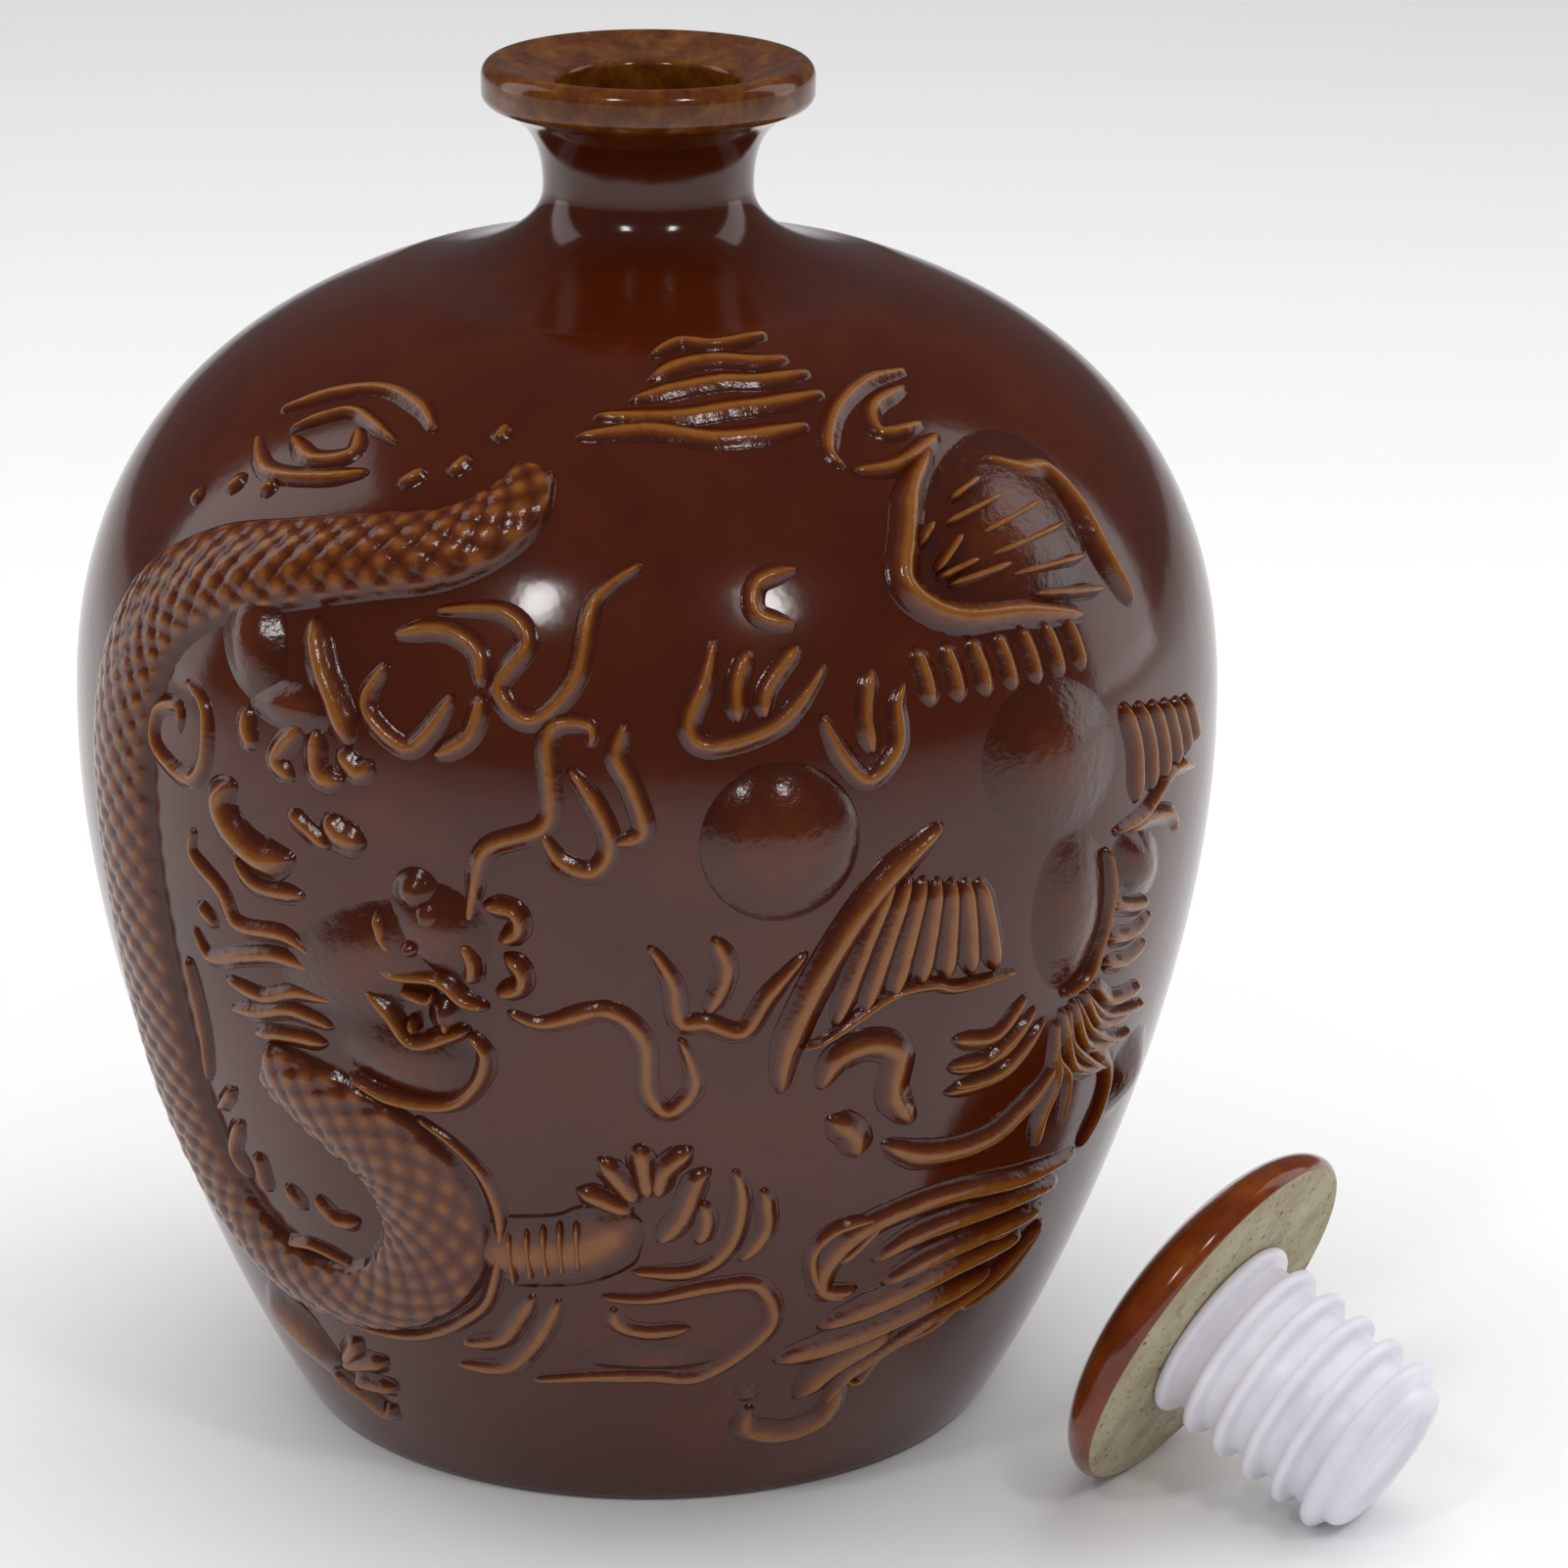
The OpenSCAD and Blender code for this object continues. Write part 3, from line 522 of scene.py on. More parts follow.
def lip_curves(jar, waist):
    """Neck and lip: a flare from the waist, an upright face with round edges, and the dished top."""
    lip_r, mouth_r, jar_h = jar.lip_r / MM, jar.mouth_r / MM, jar.jar_h / MM
    lip_low = jar_h - jar.lip_h / MM
    mouth_z = jar_h - jar.lip_dish / MM
    flare = bezier(waist, waist + (0, (lip_low - waist[1]) * 0.6), (waist[0] + 3.2, lip_low - 2.6),
                   (lip_r - LIP_ROUND - 1, lip_low - 0.6), 16)
    underside = arc((lip_r - LIP_ROUND, lip_low + LIP_ROUND), LIP_ROUND, -70, 0, 8)
    crown = arc((lip_r - LIP_CROWN, jar_h - LIP_CROWN), LIP_CROWN, 0, 100, 10)
    mouth = arc((mouth_r + MOUTH_ROUND, mouth_z - MOUTH_ROUND), MOUTH_ROUND, 75, 180, 8)
    return flare, underside, crown, mouth


def cavity_curves(jar, outer):
    """Inside from the floor's middle up to the bore: the outer wall moved inwards, square to itself,
    by the wall's thickness, with a round corner at the floor and a round throat."""
    floor_t, mouth_r = jar.floor_t / MM, jar.mouth_r / MM
    step = np.gradient(outer, axis=0)
    step /= np.linalg.norm(step, axis=1)[:, None]
    inner = outer + jar.wall / MM * np.stack([-step[:, 1], step[:, 0]], 1)
    inner = inner[inner[:, 1] > floor_t + FLOOR_CORNER]
    corner_r = inner[0, 0] - 0.55 * FLOOR_CORNER
    floor_end = (corner_r - FLOOR_CORNER, floor_t)
    corner = bezier(floor_end, (corner_r, floor_t), inner[0] - 0.6 * FLOOR_CORNER * towards(CORNER_LEAN),
                    inner[0], 8)
    rise = (inner[-1, 0] - mouth_r) * math.tan(math.radians(SHOULDER_FALL))
    throat = arc((mouth_r + THROAT_ROUND, inner[-1, 1] + rise + THROAT_ROUND), THROAT_ROUND,
                 270 - SHOULDER_FALL, 180, 6)
    return [(0, floor_t), floor_end], corner, inner[1:], throat


def jar_profile(jar):
    """Whole closed profile: up the outer wall and over the lip, then down the inside to the floor."""
    foot, lower, shoulder, neck = wall_curves(jar)
    inside = np.concatenate(cavity_curves(jar, np.concatenate([lower, shoulder])))
    return np.concatenate([[(0, 0)], foot, lower, shoulder, neck, *lip_curves(jar, neck[-1]), inside[::-1]])


class Wall:
    """The outer wall as tables of radius and height against the way up it, to lay relief on."""

    def __init__(self, jar):
        points = np.concatenate(wall_curves(jar))
        steps = np.linalg.norm(np.diff(points, axis=0), axis=1)
        way = np.concatenate([[0], np.cumsum(steps)])
        self.way = way * DRAWN_LENGTH / way[-1]
        self.points = points

    def r(self, s):
        """Radius at the way s."""
        return np.interp(s, self.way, self.points[:, 0])

    def z(self, s):
        """Height at the way s."""
        return np.interp(s, self.way, self.points[:, 1])

    def place(self, a, s, h):
        """Point at bearing a, way s and height h: the wall's point plus h along its outward normal."""
        dr, dz = self.r(s + 2) - self.r(s - 2), self.z(s + 2) - self.z(s - 2)
        size = np.hypot(dr, dz)
        r = self.r(s) + h * dz / size
        z = self.z(s) - h * dr / size
        u = np.radians(a)
        return np.stack([r * np.sin(u), -r * np.cos(u), z], -1)

    def mm_per_degree(self, s):
        """Way round the wall that one degree of bearing takes."""
        return self.r(s) * math.pi / 180

    def beside(self, a, s, across, up, h):
        """Point across and up in mm from a place, at height h."""
        return self.place(a + across / self.mm_per_degree(s), s + up, h)


# Relief: rings of points, and the rise of each point from 0 at the relief's foot to 1 at a crest.

def smooth_curve(points, wall, step):
    """Catmull-Rom curve through the places, then one place every step mm along it."""
    p = np.asarray(points, float)
    p = np.concatenate([p[:1], p, p[-1:]])
    t = np.linspace(0, 1, 12, endpoint=False)[:, None]
    runs = []
    for a, b, c, d in zip(p[:-3], p[1:-2], p[2:-1], p[3:]):
        runs.append((2 * b + (c - a) * t + (2 * a - 5 * b + 4 * c - d) * t ** 2
                     + (3 * b - a - 3 * c + d) * t ** 3) / 2)
    run = np.concatenate(runs + [p[-1:]])
    across = np.diff(run[:, 0]) * wall.mm_per_degree(run[:-1, 1])
    way = np.concatenate([[0], np.cumsum(np.hypot(across, np.diff(run[:, 1])))])
    at = np.linspace(0, way[-1], max(6, int(way[-1] / step) + 1))
    return np.stack([np.interp(at, way, column) for column in run.T], 1), at


def lay(run, wall, across, height):
    """Points at the distances across, to the left of the curve, and at the heights: one row of each
    for every place of the curve."""
    scale = np.stack([wall.mm_per_degree(run[:, 1]), np.ones(len(run))], 1)
    way = np.gradient(run[:, :2], axis=0) * scale
    way /= np.linalg.norm(way, axis=1)[:, None]
    return wall.beside(run[:, :1], run[:, 1:2], across * -way[:, 1:], across * way[:, :1], height)


def close_under(run, wall, across, top, rise, key):
    """Rings of a band: each row of its top, and three points under it, key mm below the wall."""
    under = across[:, [-1, across.shape[1] // 2, 0]]
    base = lay(run, wall, under, np.full(under.shape, -key))
    return np.concatenate([top, base], 1), np.concatenate([rise, np.zeros(under.shape)], 1)


def stroke(points, wall, w, h, step, key):
    """Ridge of clay: height h cos(pi x / 2)^2 over x = -1..1, narrower and lower near its ends, so
    that the glaze runs into the wall without an edge."""
    run, at = smooth_curve(points, wall, step)
    to_end = np.minimum(at, at[-1] - at)[:, None]
    end = np.sqrt(1 - (1 - np.clip(to_end / (0.8 * w), 0, 1)) ** 2)
    thin = np.clip(0.5 + 2.5 * to_end / at[-1], 0, 1)
    x = np.linspace(-1, 1, 13)[None, :]
    bump = np.cos(x * math.pi / 2) ** 2
    across = x * STROKE_SPREAD * w / 2 * thin * (0.35 + 0.65 * end)
    height = STROKE_KEEP * h * (0.5 + 0.5 * thin) * end * bump - TUCK
    top = lay(run, wall, across, height)
    return close_under(run, wall, UNDER_WIDTH * across, top, bump * end, key)


def dome(a, s, la, ls, turn, h, wall, key, fullness):
    """Low oval dome: height h (1 - k^2)^fullness at the part k of its half lengths la across and ls
    up, turned by an angle, and a skirt below the wall."""
    k = np.sin(np.linspace(math.pi / 2, 0.04, 16))[:, None]
    k = np.concatenate([[[0.96]], k])
    u = np.linspace(0, 2 * math.pi, 64, endpoint=False)[None, :]
    x, y = k * la * np.cos(u), k * ls * np.sin(u)
    level = (1 - k ** 2) ** fullness + 0 * u
    level[0] = 0
    height = (h + TUCK) * level - TUCK
    height[0] = -key
    t = math.radians(turn)
    rings = wall.beside(a, s, x * math.cos(t) - y * math.sin(t), x * math.sin(t) + y * math.cos(t), height)
    return rings, 0.55 * level


def mound(a, s, la, ls, turn, h, wall, key):
    """Mound of clay: a dome with soft edges."""
    return dome(a, s, MOUND_SPREAD * la, MOUND_SPREAD * ls, turn, MOUND_KEEP * h, wall, key, 1.6)


def scaled_body(relief, wall):
    """The dragon's body: a dome 1 - x^2 across its width, with round scales on it. A scale is a dome
    sqrt(1 - d^2) round the nearest point of a staggered lattice, and d is 1 at 0.56 of its pitch."""
    run, at = smooth_curve(COIL, wall, relief.coil_step / MM)
    x = np.linspace(-1, 1, 41)[None, :]
    across = x * run[:, 2:3] / 2
    pitch = relief.scale_pitch / MM
    u = at[:, None] / pitch
    v = across / pitch * 1.15
    d = np.full(v.shape, np.inf)
    for shift in (0, 0.5):
        from_u = u + shift - np.round(u + shift)
        from_v = v + shift - np.round(v + shift)
        d = np.minimum(d, np.hypot(from_u, from_v) / 0.56)
    inside = np.clip((0.93 - np.abs(x)) / 0.12, 0, 1)
    scale = np.sqrt(np.clip(1 - d ** 2, 0, 1))
    end = np.sqrt(np.clip(np.minimum(at, at[-1] - at)[:, None] / 10, 0, 1))
    height = relief.coil_h / MM * (1 - x ** 2) * (0.3 + 0.7 * end)
    height = height + relief.scale_h / MM * (scale * inside - 0.15)
    rise = 0.08 + 0.85 * scale ** 3 * inside
    return close_under(run, wall, across, lay(run, wall, across, height), rise, relief.key / MM)


# Stopper, drawn along +Z from the cap's bare face.

def cap_dome_profile(stopper):
    """Glazed cap: the dome r = cap_r cos u, z = -edge - (cap_h - edge) sin u, with a round edge."""
    cap_r, cap_h, edge = stopper.cap_r / MM, stopper.cap_h / MM, stopper.cap_edge / MM
    u = np.linspace(0, math.pi / 2, 40)[1:]
    outside = np.stack([cap_r * np.cos(u), -edge - (cap_h - edge) * np.sin(u)], 1)
    rim = arc((cap_r - edge, -edge), edge, 55, 0, 8)
    return np.concatenate([[(0, -0.4), (cap_r - edge - 1, -0.4)], rim, outside])


def cap_face_profile(stopper):
    """Bare face of the cap: flat, and a little way round the edge."""
    cap_r, edge = stopper.cap_r / MM, stopper.cap_edge / MM
    return np.concatenate([[(0, 0)], arc((cap_r - edge, -edge), edge, 90, 52, 5), [(0, -0.8)]])


def plug_profile(stopper):
    """Ribbed plug: round-edged ribs, a hollow curve from each to the next, and a small dished tip."""
    rib_r, half, core = stopper.rib_r / MM, stopper.rib_t / MM / 2, stopper.core_r / MM
    pitch, plug_l = stopper.rib_pitch / MM, stopper.plug_l / MM
    edge_r = rib_r - half
    outline = [[(0, -1), (core + 1, -1)], arc((edge_r, half), half, -90, 70, 9)]
    for z in half + pitch * np.arange(1, stopper.rib_n):
        low, high = z - pitch + half, z - half
        outline += [
            bezier((edge_r, low + 0.1), (core - 0.4, low + 0.3), (core, low + 1.4), (core, low + 2.2), 8),
            bezier((core, high - 1.6), (core, high - 0.9), (core + 0.3, high - 0.5),
                   (edge_r - 0.3, high - 0.05), 8),
            arc((edge_r, z), half, -75, 70, 9)]
    tip_step = 2.4
    disc_r = core - tip_step - 2
    tip_dish = 1.2
    outline += [[(core, plug_l - tip_step - 0.5)],
                arc((core - tip_step, plug_l - tip_step), tip_step, 0, 90, 9),
                [(disc_r, plug_l), (disc_r - 1, plug_l - tip_dish), (0, plug_l - tip_dish)]]
    return np.concatenate(outline)


def glue_profile(stopper):
    """Glue between plug and cap: a flat disc whose edge swells out round the plug."""
    core = stopper.core_r / MM
    return np.array([(0, -0.7), (core, -0.7), (core + 1.2, -0.5), (core + 1.4, 0.1), (core + 0.6, 0.5),
                     (core - 1, 0.3), (0, 0.2)])


def lying(stopper):
    """Place of the stopper: its axis, drawn along +Z, dips below level and is turned from +X."""
    at = Matrix.Translation((stopper.lay_out * math.cos(stopper.lay_at),
                             -stopper.lay_out * math.sin(stopper.lay_at), stopper.lay_z))
    turn = Matrix.Rotation(-stopper.lay_turn, 4, "Z")
    return at @ turn @ Matrix.Rotation(math.pi / 2 + stopper.lay_dip, 4, "Y")


# Meshes.

def shell(rings, rise=None):
    """Closed shell round a stack of closed rings: quads between rings, and a fan over each end."""
    n, m = rings.shape[:2]
    index = np.arange(n * m).reshape(n, m)
    right = np.roll(index, -1, axis=1)
    quads = np.stack([index[:-1], right[:-1], right[1:], index[1:]], -1).reshape(-1, 4)
    low, high = n * m, n * m + 1
    fans = [np.stack([right[0], index[0], np.full(m, low)], -1),
            np.stack([index[-1], right[-1], np.full(m, high)], -1)]
    points = np.concatenate([rings.reshape(-1, 3), [rings[0].mean(0)], [rings[-1].mean(0)]])
    if rise is None:
        rise = np.zeros((n, m))
    level = np.concatenate([rise.reshape(-1), [rise[0].mean(), rise[-1].mean()]])
    return points, quads, np.concatenate(fans), level


def revolve(profile, segments):
    """Closed surface (r sin u, -r cos u, z) of a profile whose two ends are points of the axis."""
    u = np.linspace(0, 2 * math.pi, segments, endpoint=False)[None, :]
    r, z = profile[1:-1, :1], profile[1:-1, 1:]
    points, quads, fans, level = shell(np.stack([r * np.sin(u), -r * np.cos(u), z + 0 * u], -1))
    points[-2:] = [(0, 0, profile[0, 1]), (0, 0, profile[-1, 1])]
    return [(points, quads, fans, level)]


def make_piece(name, shells, material, body, nodes, place=None):
    """One object from closed shells in mm, put in its place, with its faces turned outwards and each
    point's rise kept as an attribute."""
    points, faces, levels, start = [], [], [], 0
    for p, quads, fans, level in shells:
        points.append(p)
        faces += (quads + start).tolist()
        faces += (fans + start).tolist()
        levels.append(level)
        start += len(p)
    co = np.concatenate(points) * MM
    if place is not None:
        co = co @ np.array(place.to_3x3()).T + np.array(place.translation)
    mesh = bpy.data.meshes.new(name)
    mesh.from_pydata(co.tolist(), [], faces)
    attribute = mesh.attributes.new("rise", "FLOAT", "POINT")
    attribute.data.foreach_set("value", np.concatenate(levels).astype(np.float32))
    bm = bmesh.new()
    bm.from_mesh(mesh)
    bmesh.ops.recalc_face_normals(bm, faces=bm.faces)
    bm.to_mesh(mesh)
    bm.free()
    mesh.polygons.foreach_set("use_smooth", np.ones(len(mesh.polygons), bool))
    mesh.update()
    mesh.materials.append(material)
    piece = bpy.data.objects.new(name, mesh)
    bpy.context.scene.collection.objects.link(piece)
    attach(piece, body)
    if nodes:
        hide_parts(*nodes)
    return piece


# Materials.

def node(tree, kind, inputs=None, stops=None, **settings):
    """Adds a node, sets its settings, links or sets its inputs, and sets a ramp's stops."""
    made = tree.nodes.new(kind)
    for key, value in settings.items():
        setattr(made, key, value)
    for key, value in (inputs or {}).items():
        if isinstance(value, bpy.types.NodeSocket):
            tree.links.new(value, made.inputs[key])
        else:
            made.inputs[key].default_value = value
    if stops:
        elements = made.color_ramp.elements
        while len(elements) < len(stops):
            elements.new(0.5)
        for element, (at, tone) in zip(elements, stops):
            element.position = at
            element.color = tone
    return made


def shaded(name, look):
    """The material of that name with nothing yet but its shader, whose inputs are in look."""
    material = bpy.data.materials.get(name) or bpy.data.materials.new(name)
    material.use_nodes = True
    tree = material.node_tree
    tree.nodes.clear()
    shader = node(tree, "ShaderNodeBsdfPrincipled", look)
    node(tree, "ShaderNodeOutputMaterial", {"Surface": shader.outputs["BSDF"]})
    return material, tree, shader


def in_mm(tree, size_mm, detail, roughness=0.55):
    """Inputs of a noise in object space whose clouds are size_mm across."""
    place = node(tree, "ShaderNodeTexCoord").outputs["Object"]
    return {"Vector": place, "Scale": 1 / (size_mm * MM), "Detail": detail, "Roughness": roughness}


def clouded(name, look, size_mm, detail, stops):
    """A material whose colour drifts through the stops in clouds of size_mm."""
    material, tree, shader = shaded(name, look)
    clouds = node(tree, "ShaderNodeTexNoise", in_mm(tree, size_mm, detail))
    tone = node(tree, "ShaderNodeValToRGB", {"Fac": clouds.outputs["Fac"]}, stops).outputs["Color"]
    tree.links.new(tone, shader.inputs["Base Color"])
    return material, tree, shader, tone


def uneven(tree, shader, size_mm, detail, strength, depth_mm):
    """Makes the surface rise and fall by depth_mm in waves of size_mm."""
    waves = node(tree, "ShaderNodeTexNoise", in_mm(tree, size_mm, detail))
    bump = node(tree, "ShaderNodeBump", {
        "Height": waves.outputs["Fac"], "Strength": strength, "Distance": depth_mm * MM})
    tree.links.new(bump.outputs["Normal"], shader.inputs["Normal"])


def brown_glaze(tones):
    """Iron-brown glaze, fired to a gloss: chestnut, darker in clouds where it is thick, and mottled
    amber on the lip, where it runs thin."""
    material, tree, shader, base = clouded(
        "glazed_stoneware_brown", {"Roughness": 0.13, "IOR": GLAZE_IOR}, 26, 4,
        [(0.3, tones.glaze_dark), (0.5, tones.glaze), (0.72, tones.glaze_light)])
    mottle = node(tree, "ShaderNodeTexNoise", in_mm(tree, 5, 6, 0.7))
    amber = node(tree, "ShaderNodeValToRGB", {"Fac": mottle.outputs["Fac"]}, [
        (0.3, tones.lip_dark), (0.5, tones.lip), (0.75, tones.lip_light)])
    place = node(tree, "ShaderNodeTexCoord").outputs["Object"]
    height = node(tree, "ShaderNodeSeparateXYZ", {"Vector": place}).outputs["Z"]
    on_lip = node(tree, "ShaderNodeMapRange", {
        "Value": height, "From Min": AMBER_FROM, "From Max": AMBER_TO, "To Max": 0.85}).outputs["Result"]
    both = node(tree, "ShaderNodeMix", {0: on_lip, 6: base, 7: amber.outputs["Color"]}, data_type="RGBA")
    tree.links.new(both.outputs[2], shader.inputs["Base Color"])
    uneven(tree, shader, 9, 3, 0.12, 0.6)
    return material


def relief_glaze(tones):
    """The same glaze over relief: it runs off the crests, which turn amber, and pools dark beside
    them. The tone follows each point's rise, plus fine clouds."""
    material, tree, shader = shaded("glazed_stoneware_relief", {"Roughness": 0.16, "IOR": GLAZE_IOR})
    rise = node(tree, "ShaderNodeAttribute", attribute_name="rise").outputs["Fac"]
    clouds = node(tree, "ShaderNodeTexNoise", in_mm(tree, 3.5, 5, 0.65))
    level = node(tree, "ShaderNodeMath", {
        0: clouds.outputs["Fac"], 1: 0.45, 2: rise}, operation="MULTIPLY_ADD")
    level = node(tree, "ShaderNodeMath", {0: level.outputs["Value"], 1: 0.22}, operation="SUBTRACT")
    tone = node(tree, "ShaderNodeValToRGB", {"Fac": level.outputs["Value"]}, [
        (0.0, tones.pool), (0.35, tones.flank), (0.72, tones.shoulder), (0.98, tones.crest)])
    tree.links.new(tone.outputs["Color"], shader.inputs["Base Color"])
    uneven(tree, shader, 2.6, 4, 0.3, 0.7)
    return material


def cap_glaze(tones):
    """The cap's glaze: a lighter red-brown, clouded where it is thick or thin, fired to a gloss."""
    material, tree, shader, _ = clouded(
        "glazed_stoneware_cap", {"Roughness": 0.14, "IOR": GLAZE_IOR}, 12, 5,
        [(0.3, tones.cap_dark), (0.5, tones.cap), (0.72, tones.cap_light)])
    uneven(tree, shader, 7, 3, 0.15, 0.6)
    return material


def bare_clay(tones):
    """Unglazed stoneware: buff grey with fine dark specks, and a dry, sandy face."""
    material, tree, shader, base = clouded(
        "bare_stoneware_clay", {"Roughness": 0.82}, 8, 5,
        [(0.3, tones.clay_dark), (0.5, tones.clay), (0.75, tones.clay_light)])
    grit = node(tree, "ShaderNodeTexNoise", in_mm(tree, 1.3, 2))
    specks = node(tree, "ShaderNodeValToRGB", {"Fac": grit.outputs["Fac"]}, [
        (0.62, linear("#000000")), (0.7, linear("#ffffff"))])
    both = node(tree, "ShaderNodeMix", {
        0: specks.outputs["Color"], 6: base, 7: tones.clay_speck}, data_type="RGBA")
    tree.links.new(both.outputs[2], shader.inputs["Base Color"])
    uneven(tree, shader, 0.9, 4, 0.5, 0.4)
    return material


def milky_plastic(tones):
    """Soft polyethylene: milky white, faintly lavender, and light passes a little way in."""
    return clouded("polyethylene_milky", {
        "Roughness": 0.34, "Subsurface Weight": 0.35, "Subsurface Radius": (0.004, 0.004, 0.005)},
        14, 2, [(0.3, tones.plastic_dark), (0.7, tones.plastic)])[0]


def hot_glue(tones):
    """Hot glue: translucent off-white with a soft gloss."""
    return clouded("hot_melt_glue", {
        "Roughness": 0.3, "Subsurface Weight": 0.3, "Subsurface Radius": (0.003, 0.003, 0.003)},
        4, 2, [(0.3, tones.glue_dark), (0.7, tones.glue)])[0]


# Pieces.

def relief_pieces(scene, *names):
    """One piece on the jar for each of the relief nodes, in one glaze."""
    wall = Wall(scene.jar_shape)
    relief = scene.relief_shape
    key, step = relief.key / MM, relief.step / MM
    glaze = relief_glaze(scene.finishes)
    for name in names:
        shells = [shell(*mound(*spec, wall, key)) for spec in MOUNDS.get(name, [])]
        for w, h, strokes in STROKES.get(name, []):
            shells += [shell(*stroke(points, wall, w, h, step, key)) for points in strokes]
        if name == "dragon_body":
            shells.append(shell(*scaled_body(relief, wall)))
        if name == "pearl":
            size = relief.pearl_r / MM
            shells.append(shell(*dome(*PEARL, size, size, 0, relief.pearl_h / MM, wall, key, 0.85)))
        make_piece(f"{name}_glazed", shells, glaze, "jar", [name])


class JAR_OT_body(bpy.types.Operator):
    """Make the thrown jar"""
    bl_idname = "jar.body"
    bl_label = "Jar"

    def execute(self, context):
        jar = context.scene.jar_shape
        glaze = brown_glaze(context.scene.finishes)
        make_piece("jar_thrown", revolve(jar_profile(jar), jar.segments), glaze, "jar",
                   ["jar_body"])
        return {"FINISHED"}


class JAR_OT_dragon(bpy.types.Operator):
    """Lay the dragon on the wall"""
    bl_idname = "jar.dragon"
    bl_label = "Dragon"

    def execute(self, context):
        relief_pieces(context.scene, "dragon_body", "dragon_head", "dragon_mane", "dragon_limbs",
                      "dragon_tail")
        return {"FINISHED"}


class JAR_OT_phoenix(bpy.types.Operator):
    """Lay the phoenix on the wall"""
    bl_idname = "jar.phoenix"
    bl_label = "Phoenix"

    def execute(self, context):
        relief_pieces(context.scene, "phoenix_body", "phoenix_wings", "phoenix_tail")
        return {"FINISHED"}


class JAR_OT_pearl(bpy.types.Operator):
    """Lay the pearl, its flames and the clouds on the wall"""
    bl_idname = "jar.pearl"
    bl_label = "Pearl, flames and clouds"

    def execute(self, context):
        relief_pieces(context.scene, "pearl", "flames", "clouds")
        return {"FINISHED"}


class JAR_OT_stopper(bpy.types.Operator):
    """Make the stopper that lies beside the jar"""
    bl_idname = "jar.stopper"
    bl_label = "Stopper"

    def execute(self, context):
        stopper = context.scene.stopper_shape
        tones, place = context.scene.finishes, lying(stopper)
        for name, profile, segments, finish, slot, nodes in (
                ("cap_dome", cap_dome_profile, 192, cap_glaze, "brown_glaze", ["stopper_cap"]),
                ("cap_face", cap_face_profile, 192, bare_clay, "bare_clay", []),
                ("plug_ribbed", plug_profile, 160, milky_plastic, "milky_plastic", ["stopper_plug"]),
                ("glue_ring", glue_profile, 96, hot_glue, "hot_glue", ["plug_glue"])):
            make_piece(name, revolve(profile(stopper), segments), finish(tones), "stopper", nodes,
                       place)
        return {"FINISHED"}


# Stage.

def lay_floor(side, tone):
    """A plain pale floor that isn't part of the jar."""
    bpy.ops.mesh.primitive_plane_add(size=side, location=(0, 0, 0))
    floor = bpy.context.object
    floor.name = "floor"
    floor.data.materials.append(shaded("pale_floor", {"Base Color": tone, "Roughness": 0.55})[0])


def surround(scene, tones, level):
    """Plain surroundings: the camera sees a white backdrop, glossy surfaces show a darker room, and
    all else is lit by soft pale light."""
    world = bpy.data.worlds.new("white_surroundings")
    scene.world = world
    world.use_nodes = True
    tree = world.node_tree
    tree.nodes.clear()
    path = node(tree, "ShaderNodeLightPath").outputs
    unseen = node(tree, "ShaderNodeMix", {
        0: path["Is Glossy Ray"], 6: tones.surroundings, 7: tones.room}, data_type="RGBA")
    shown = node(tree, "ShaderNodeMix", {
        0: path["Is Camera Ray"], 6: unseen.outputs[2], 7: tones.backdrop}, data_type="RGBA")
    glow = node(tree, "ShaderNodeBackground", {"Color": shown.outputs[2], "Strength": level})
    node(tree, "ShaderNodeOutputWorld", {"Surface": glow.outputs["Background"]})


def add_light(name, watts, place, target, size):
    """Area light of the size (across, up) in metres at a place, turned to its target."""
    data = bpy.data.lights.new(name, "AREA")
    data.energy = watts
    data.shape = "RECTANGLE"
    data.size, data.size_y = size
    light = bpy.data.objects.new(name, data)
    light.location = place
    light.rotation_euler = (Vector(target) - Vector(place)).to_track_quat("-Z", "Y").to_euler()
    bpy.context.scene.collection.objects.link(light)
    return light


def add_camera(scene):
    """Camera of the photo, which was cut from a wider picture: its view runs through the middle of
    the cut. Its top is +X cross the view, and its right is the view cross its top."""
    fall = math.radians(CAMERA_FALL)
    ahead = np.array([0, math.cos(fall), -math.sin(fall)])
    up = np.array([0, math.sin(fall), math.cos(fall)])
    middle_x, middle_y = MIDDLE_PX
    side = (PICTURE_PX / 2 - middle_x) / FOCAL_PX
    rise = (middle_y - PICTURE_PX / 2) / FOCAL_PX
    view = ahead + side * np.array([1, 0, 0]) + rise * up
    view /= np.linalg.norm(view)
    top = np.cross((1, 0, 0), view)
    top /= np.linalg.norm(top)
    right = np.cross(view, top)
    axes = np.eye(4)
    axes[:3] = np.stack([right, top, -view, CAMERA_PLACE], 1)
    data = bpy.data.cameras.new("camera")
    data.sensor_width = SENSOR_MM
    data.lens = FOCAL_PX / PICTURE_PX * SENSOR_MM
    camera = bpy.data.objects.new("camera", data)
    camera.matrix_world = Matrix(axes.tolist())
    scene.collection.objects.link(camera)
    scene.camera = camera


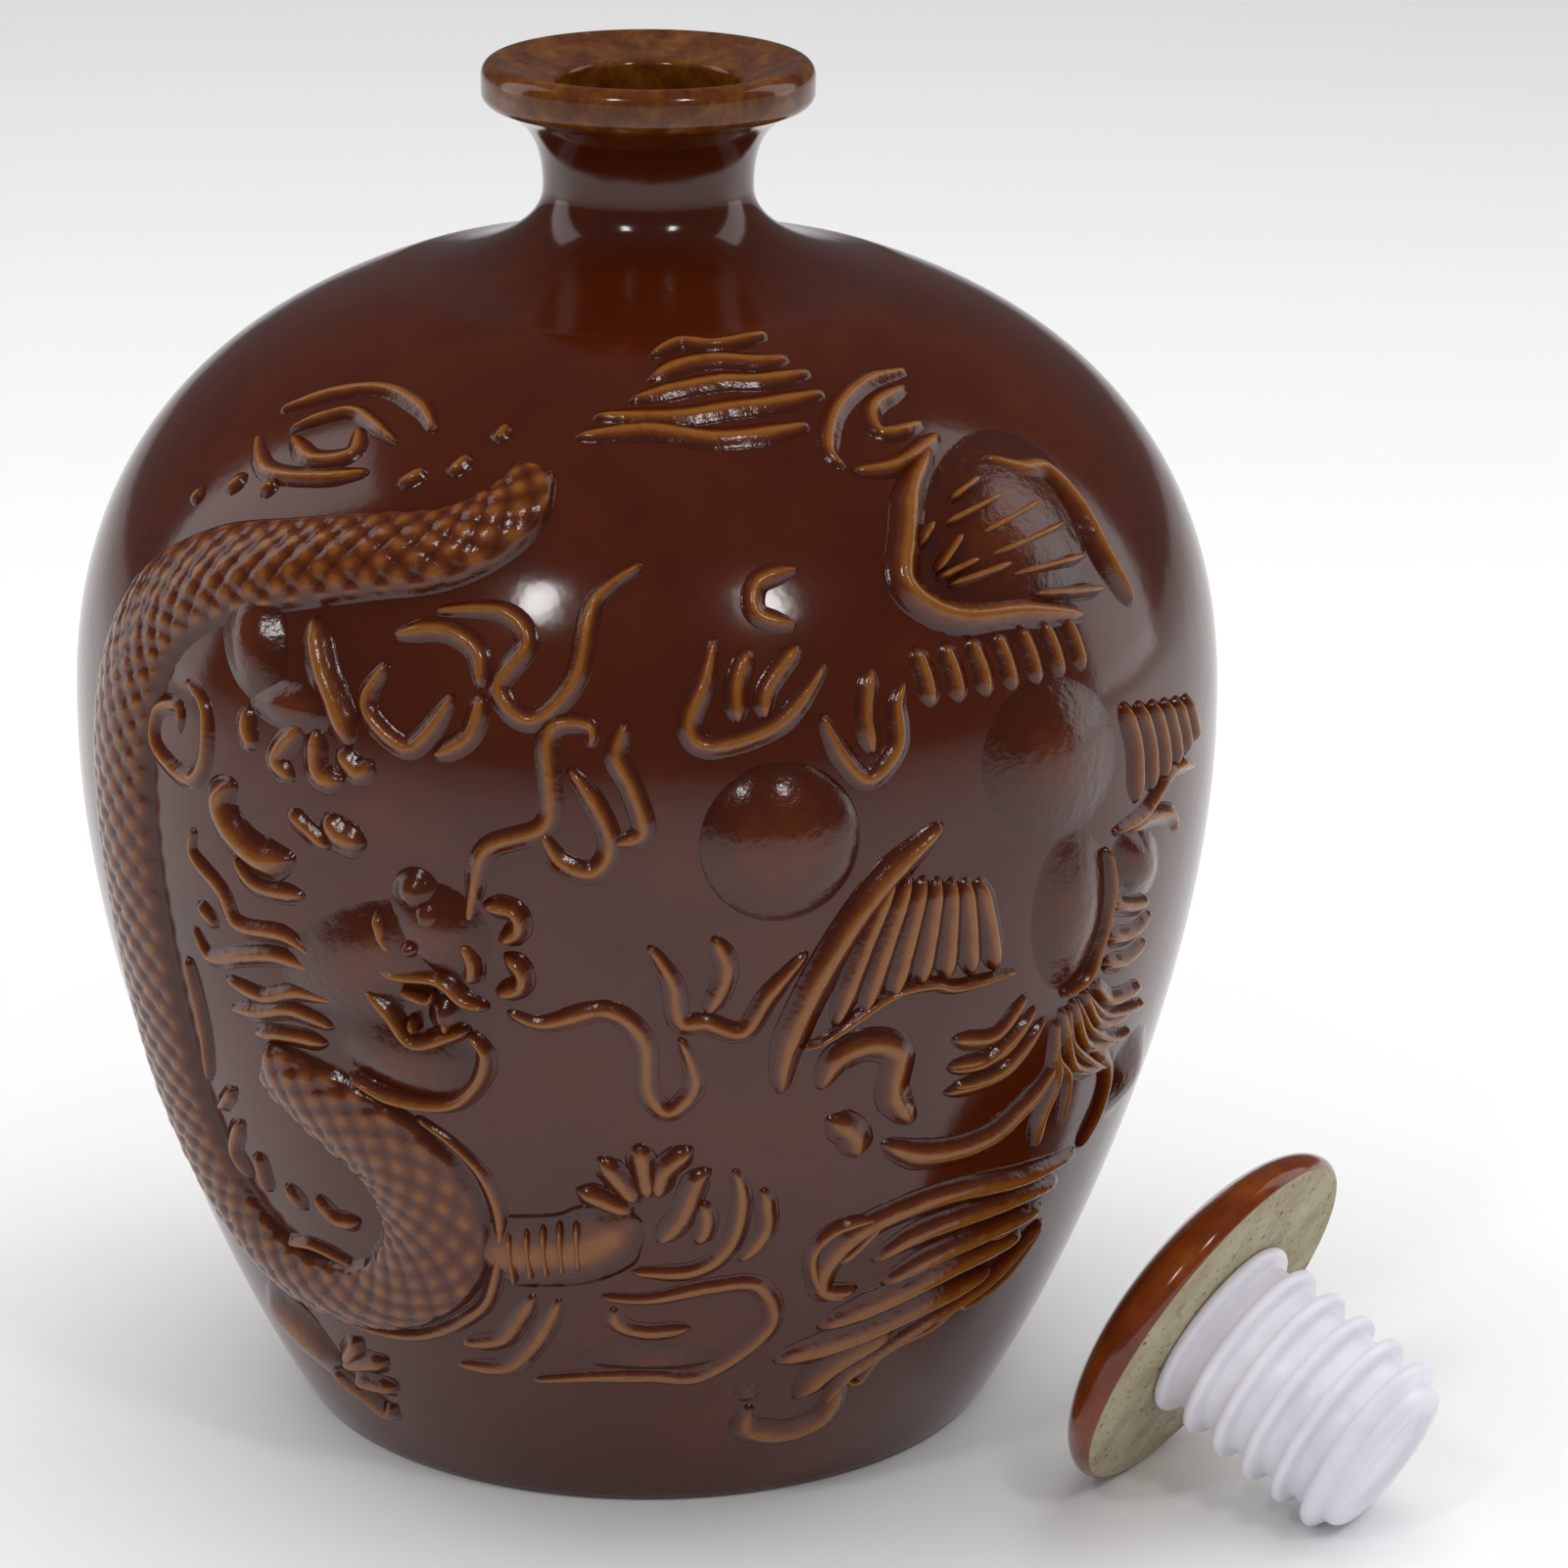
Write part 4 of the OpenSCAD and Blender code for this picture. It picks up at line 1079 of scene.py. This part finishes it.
class JAR_OT_stage(bpy.types.Operator):
    """Set the floor, the surroundings, the light and the camera"""
    bl_idname = "jar.stage"
    bl_label = "Stage"

    def execute(self, context):
        scene = context.scene
        look = scene.stage_look
        lay_floor(look.floor_side, scene.finishes.floor)
        surround(scene, scene.finishes, look.world_level)
        add_light("softbox_left", look.key_power, (-0.42, -0.85, 1.0), (0, 0, 0.14), (0.13, 0.2))
        add_light("softbox_right", look.key_power, (0.45, -0.85, 1.0), (0, 0, 0.14), (0.13, 0.2))
        add_light("panel_left", look.side_power, (-1.0, 0.3, 0.6), (0, 0, 0.12), (0.5, 1.2))
        add_light("panel_right", look.side_power, (1.0, 0.3, 0.6), (0, 0, 0.12), (0.5, 1.2))
        overhead = add_light("overhead", look.top_power, (0, 0.35, 1.6), (0, 0, 0), (2.0, 1.8))
        overhead.visible_glossy = False
        add_camera(scene)
        scene.view_settings.view_transform = "Standard"
        return {"FINISHED"}


class JAR_PT_panel(bpy.types.Panel):
    """The jar's settings and the buttons that make its pieces"""
    bl_label = "Jar"
    bl_idname = "JAR_PT_panel"
    bl_space_type = "VIEW_3D"
    bl_region_type = "UI"
    bl_category = "Jar"

    def draw(self, context):
        for group, made in GROUPS.items():
            box = self.layout.box()
            settings = getattr(context.scene, group)
            for key in made.__annotations__:
                box.prop(settings, key)
        for operator in OPERATORS:
            self.layout.operator(operator.bl_idname)


GROUPS = {
    "jar_shape": JarShape,
    "relief_shape": ReliefShape,
    "stopper_shape": StopperShape,
    "finishes": Finishes,
    "stage_look": StageLook,
}
OPERATORS = (JAR_OT_body, JAR_OT_dragon, JAR_OT_phoenix, JAR_OT_pearl, JAR_OT_stopper, JAR_OT_stage)


def register():
    """Adds the classes and the settings."""
    for made in (*GROUPS.values(), *OPERATORS, JAR_PT_panel):
        bpy.utils.register_class(made)
    for group, made in GROUPS.items():
        setattr(bpy.types.Scene, group, bpy.props.PointerProperty(type=made))


def unregister():
    """Takes the classes and the settings away."""
    for group in GROUPS:
        delattr(bpy.types.Scene, group)
    for made in reversed((*GROUPS.values(), *OPERATORS, JAR_PT_panel)):
        bpy.utils.unregister_class(made)


def main():
    """Registers the add-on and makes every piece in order."""
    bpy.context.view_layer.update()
    register()
    bpy.ops.jar.body()
    bpy.ops.jar.dragon()
    bpy.ops.jar.phoenix()
    bpy.ops.jar.pearl()
    bpy.ops.jar.stopper()
    bpy.ops.jar.stage()


if __name__ == "__main__":
    main()
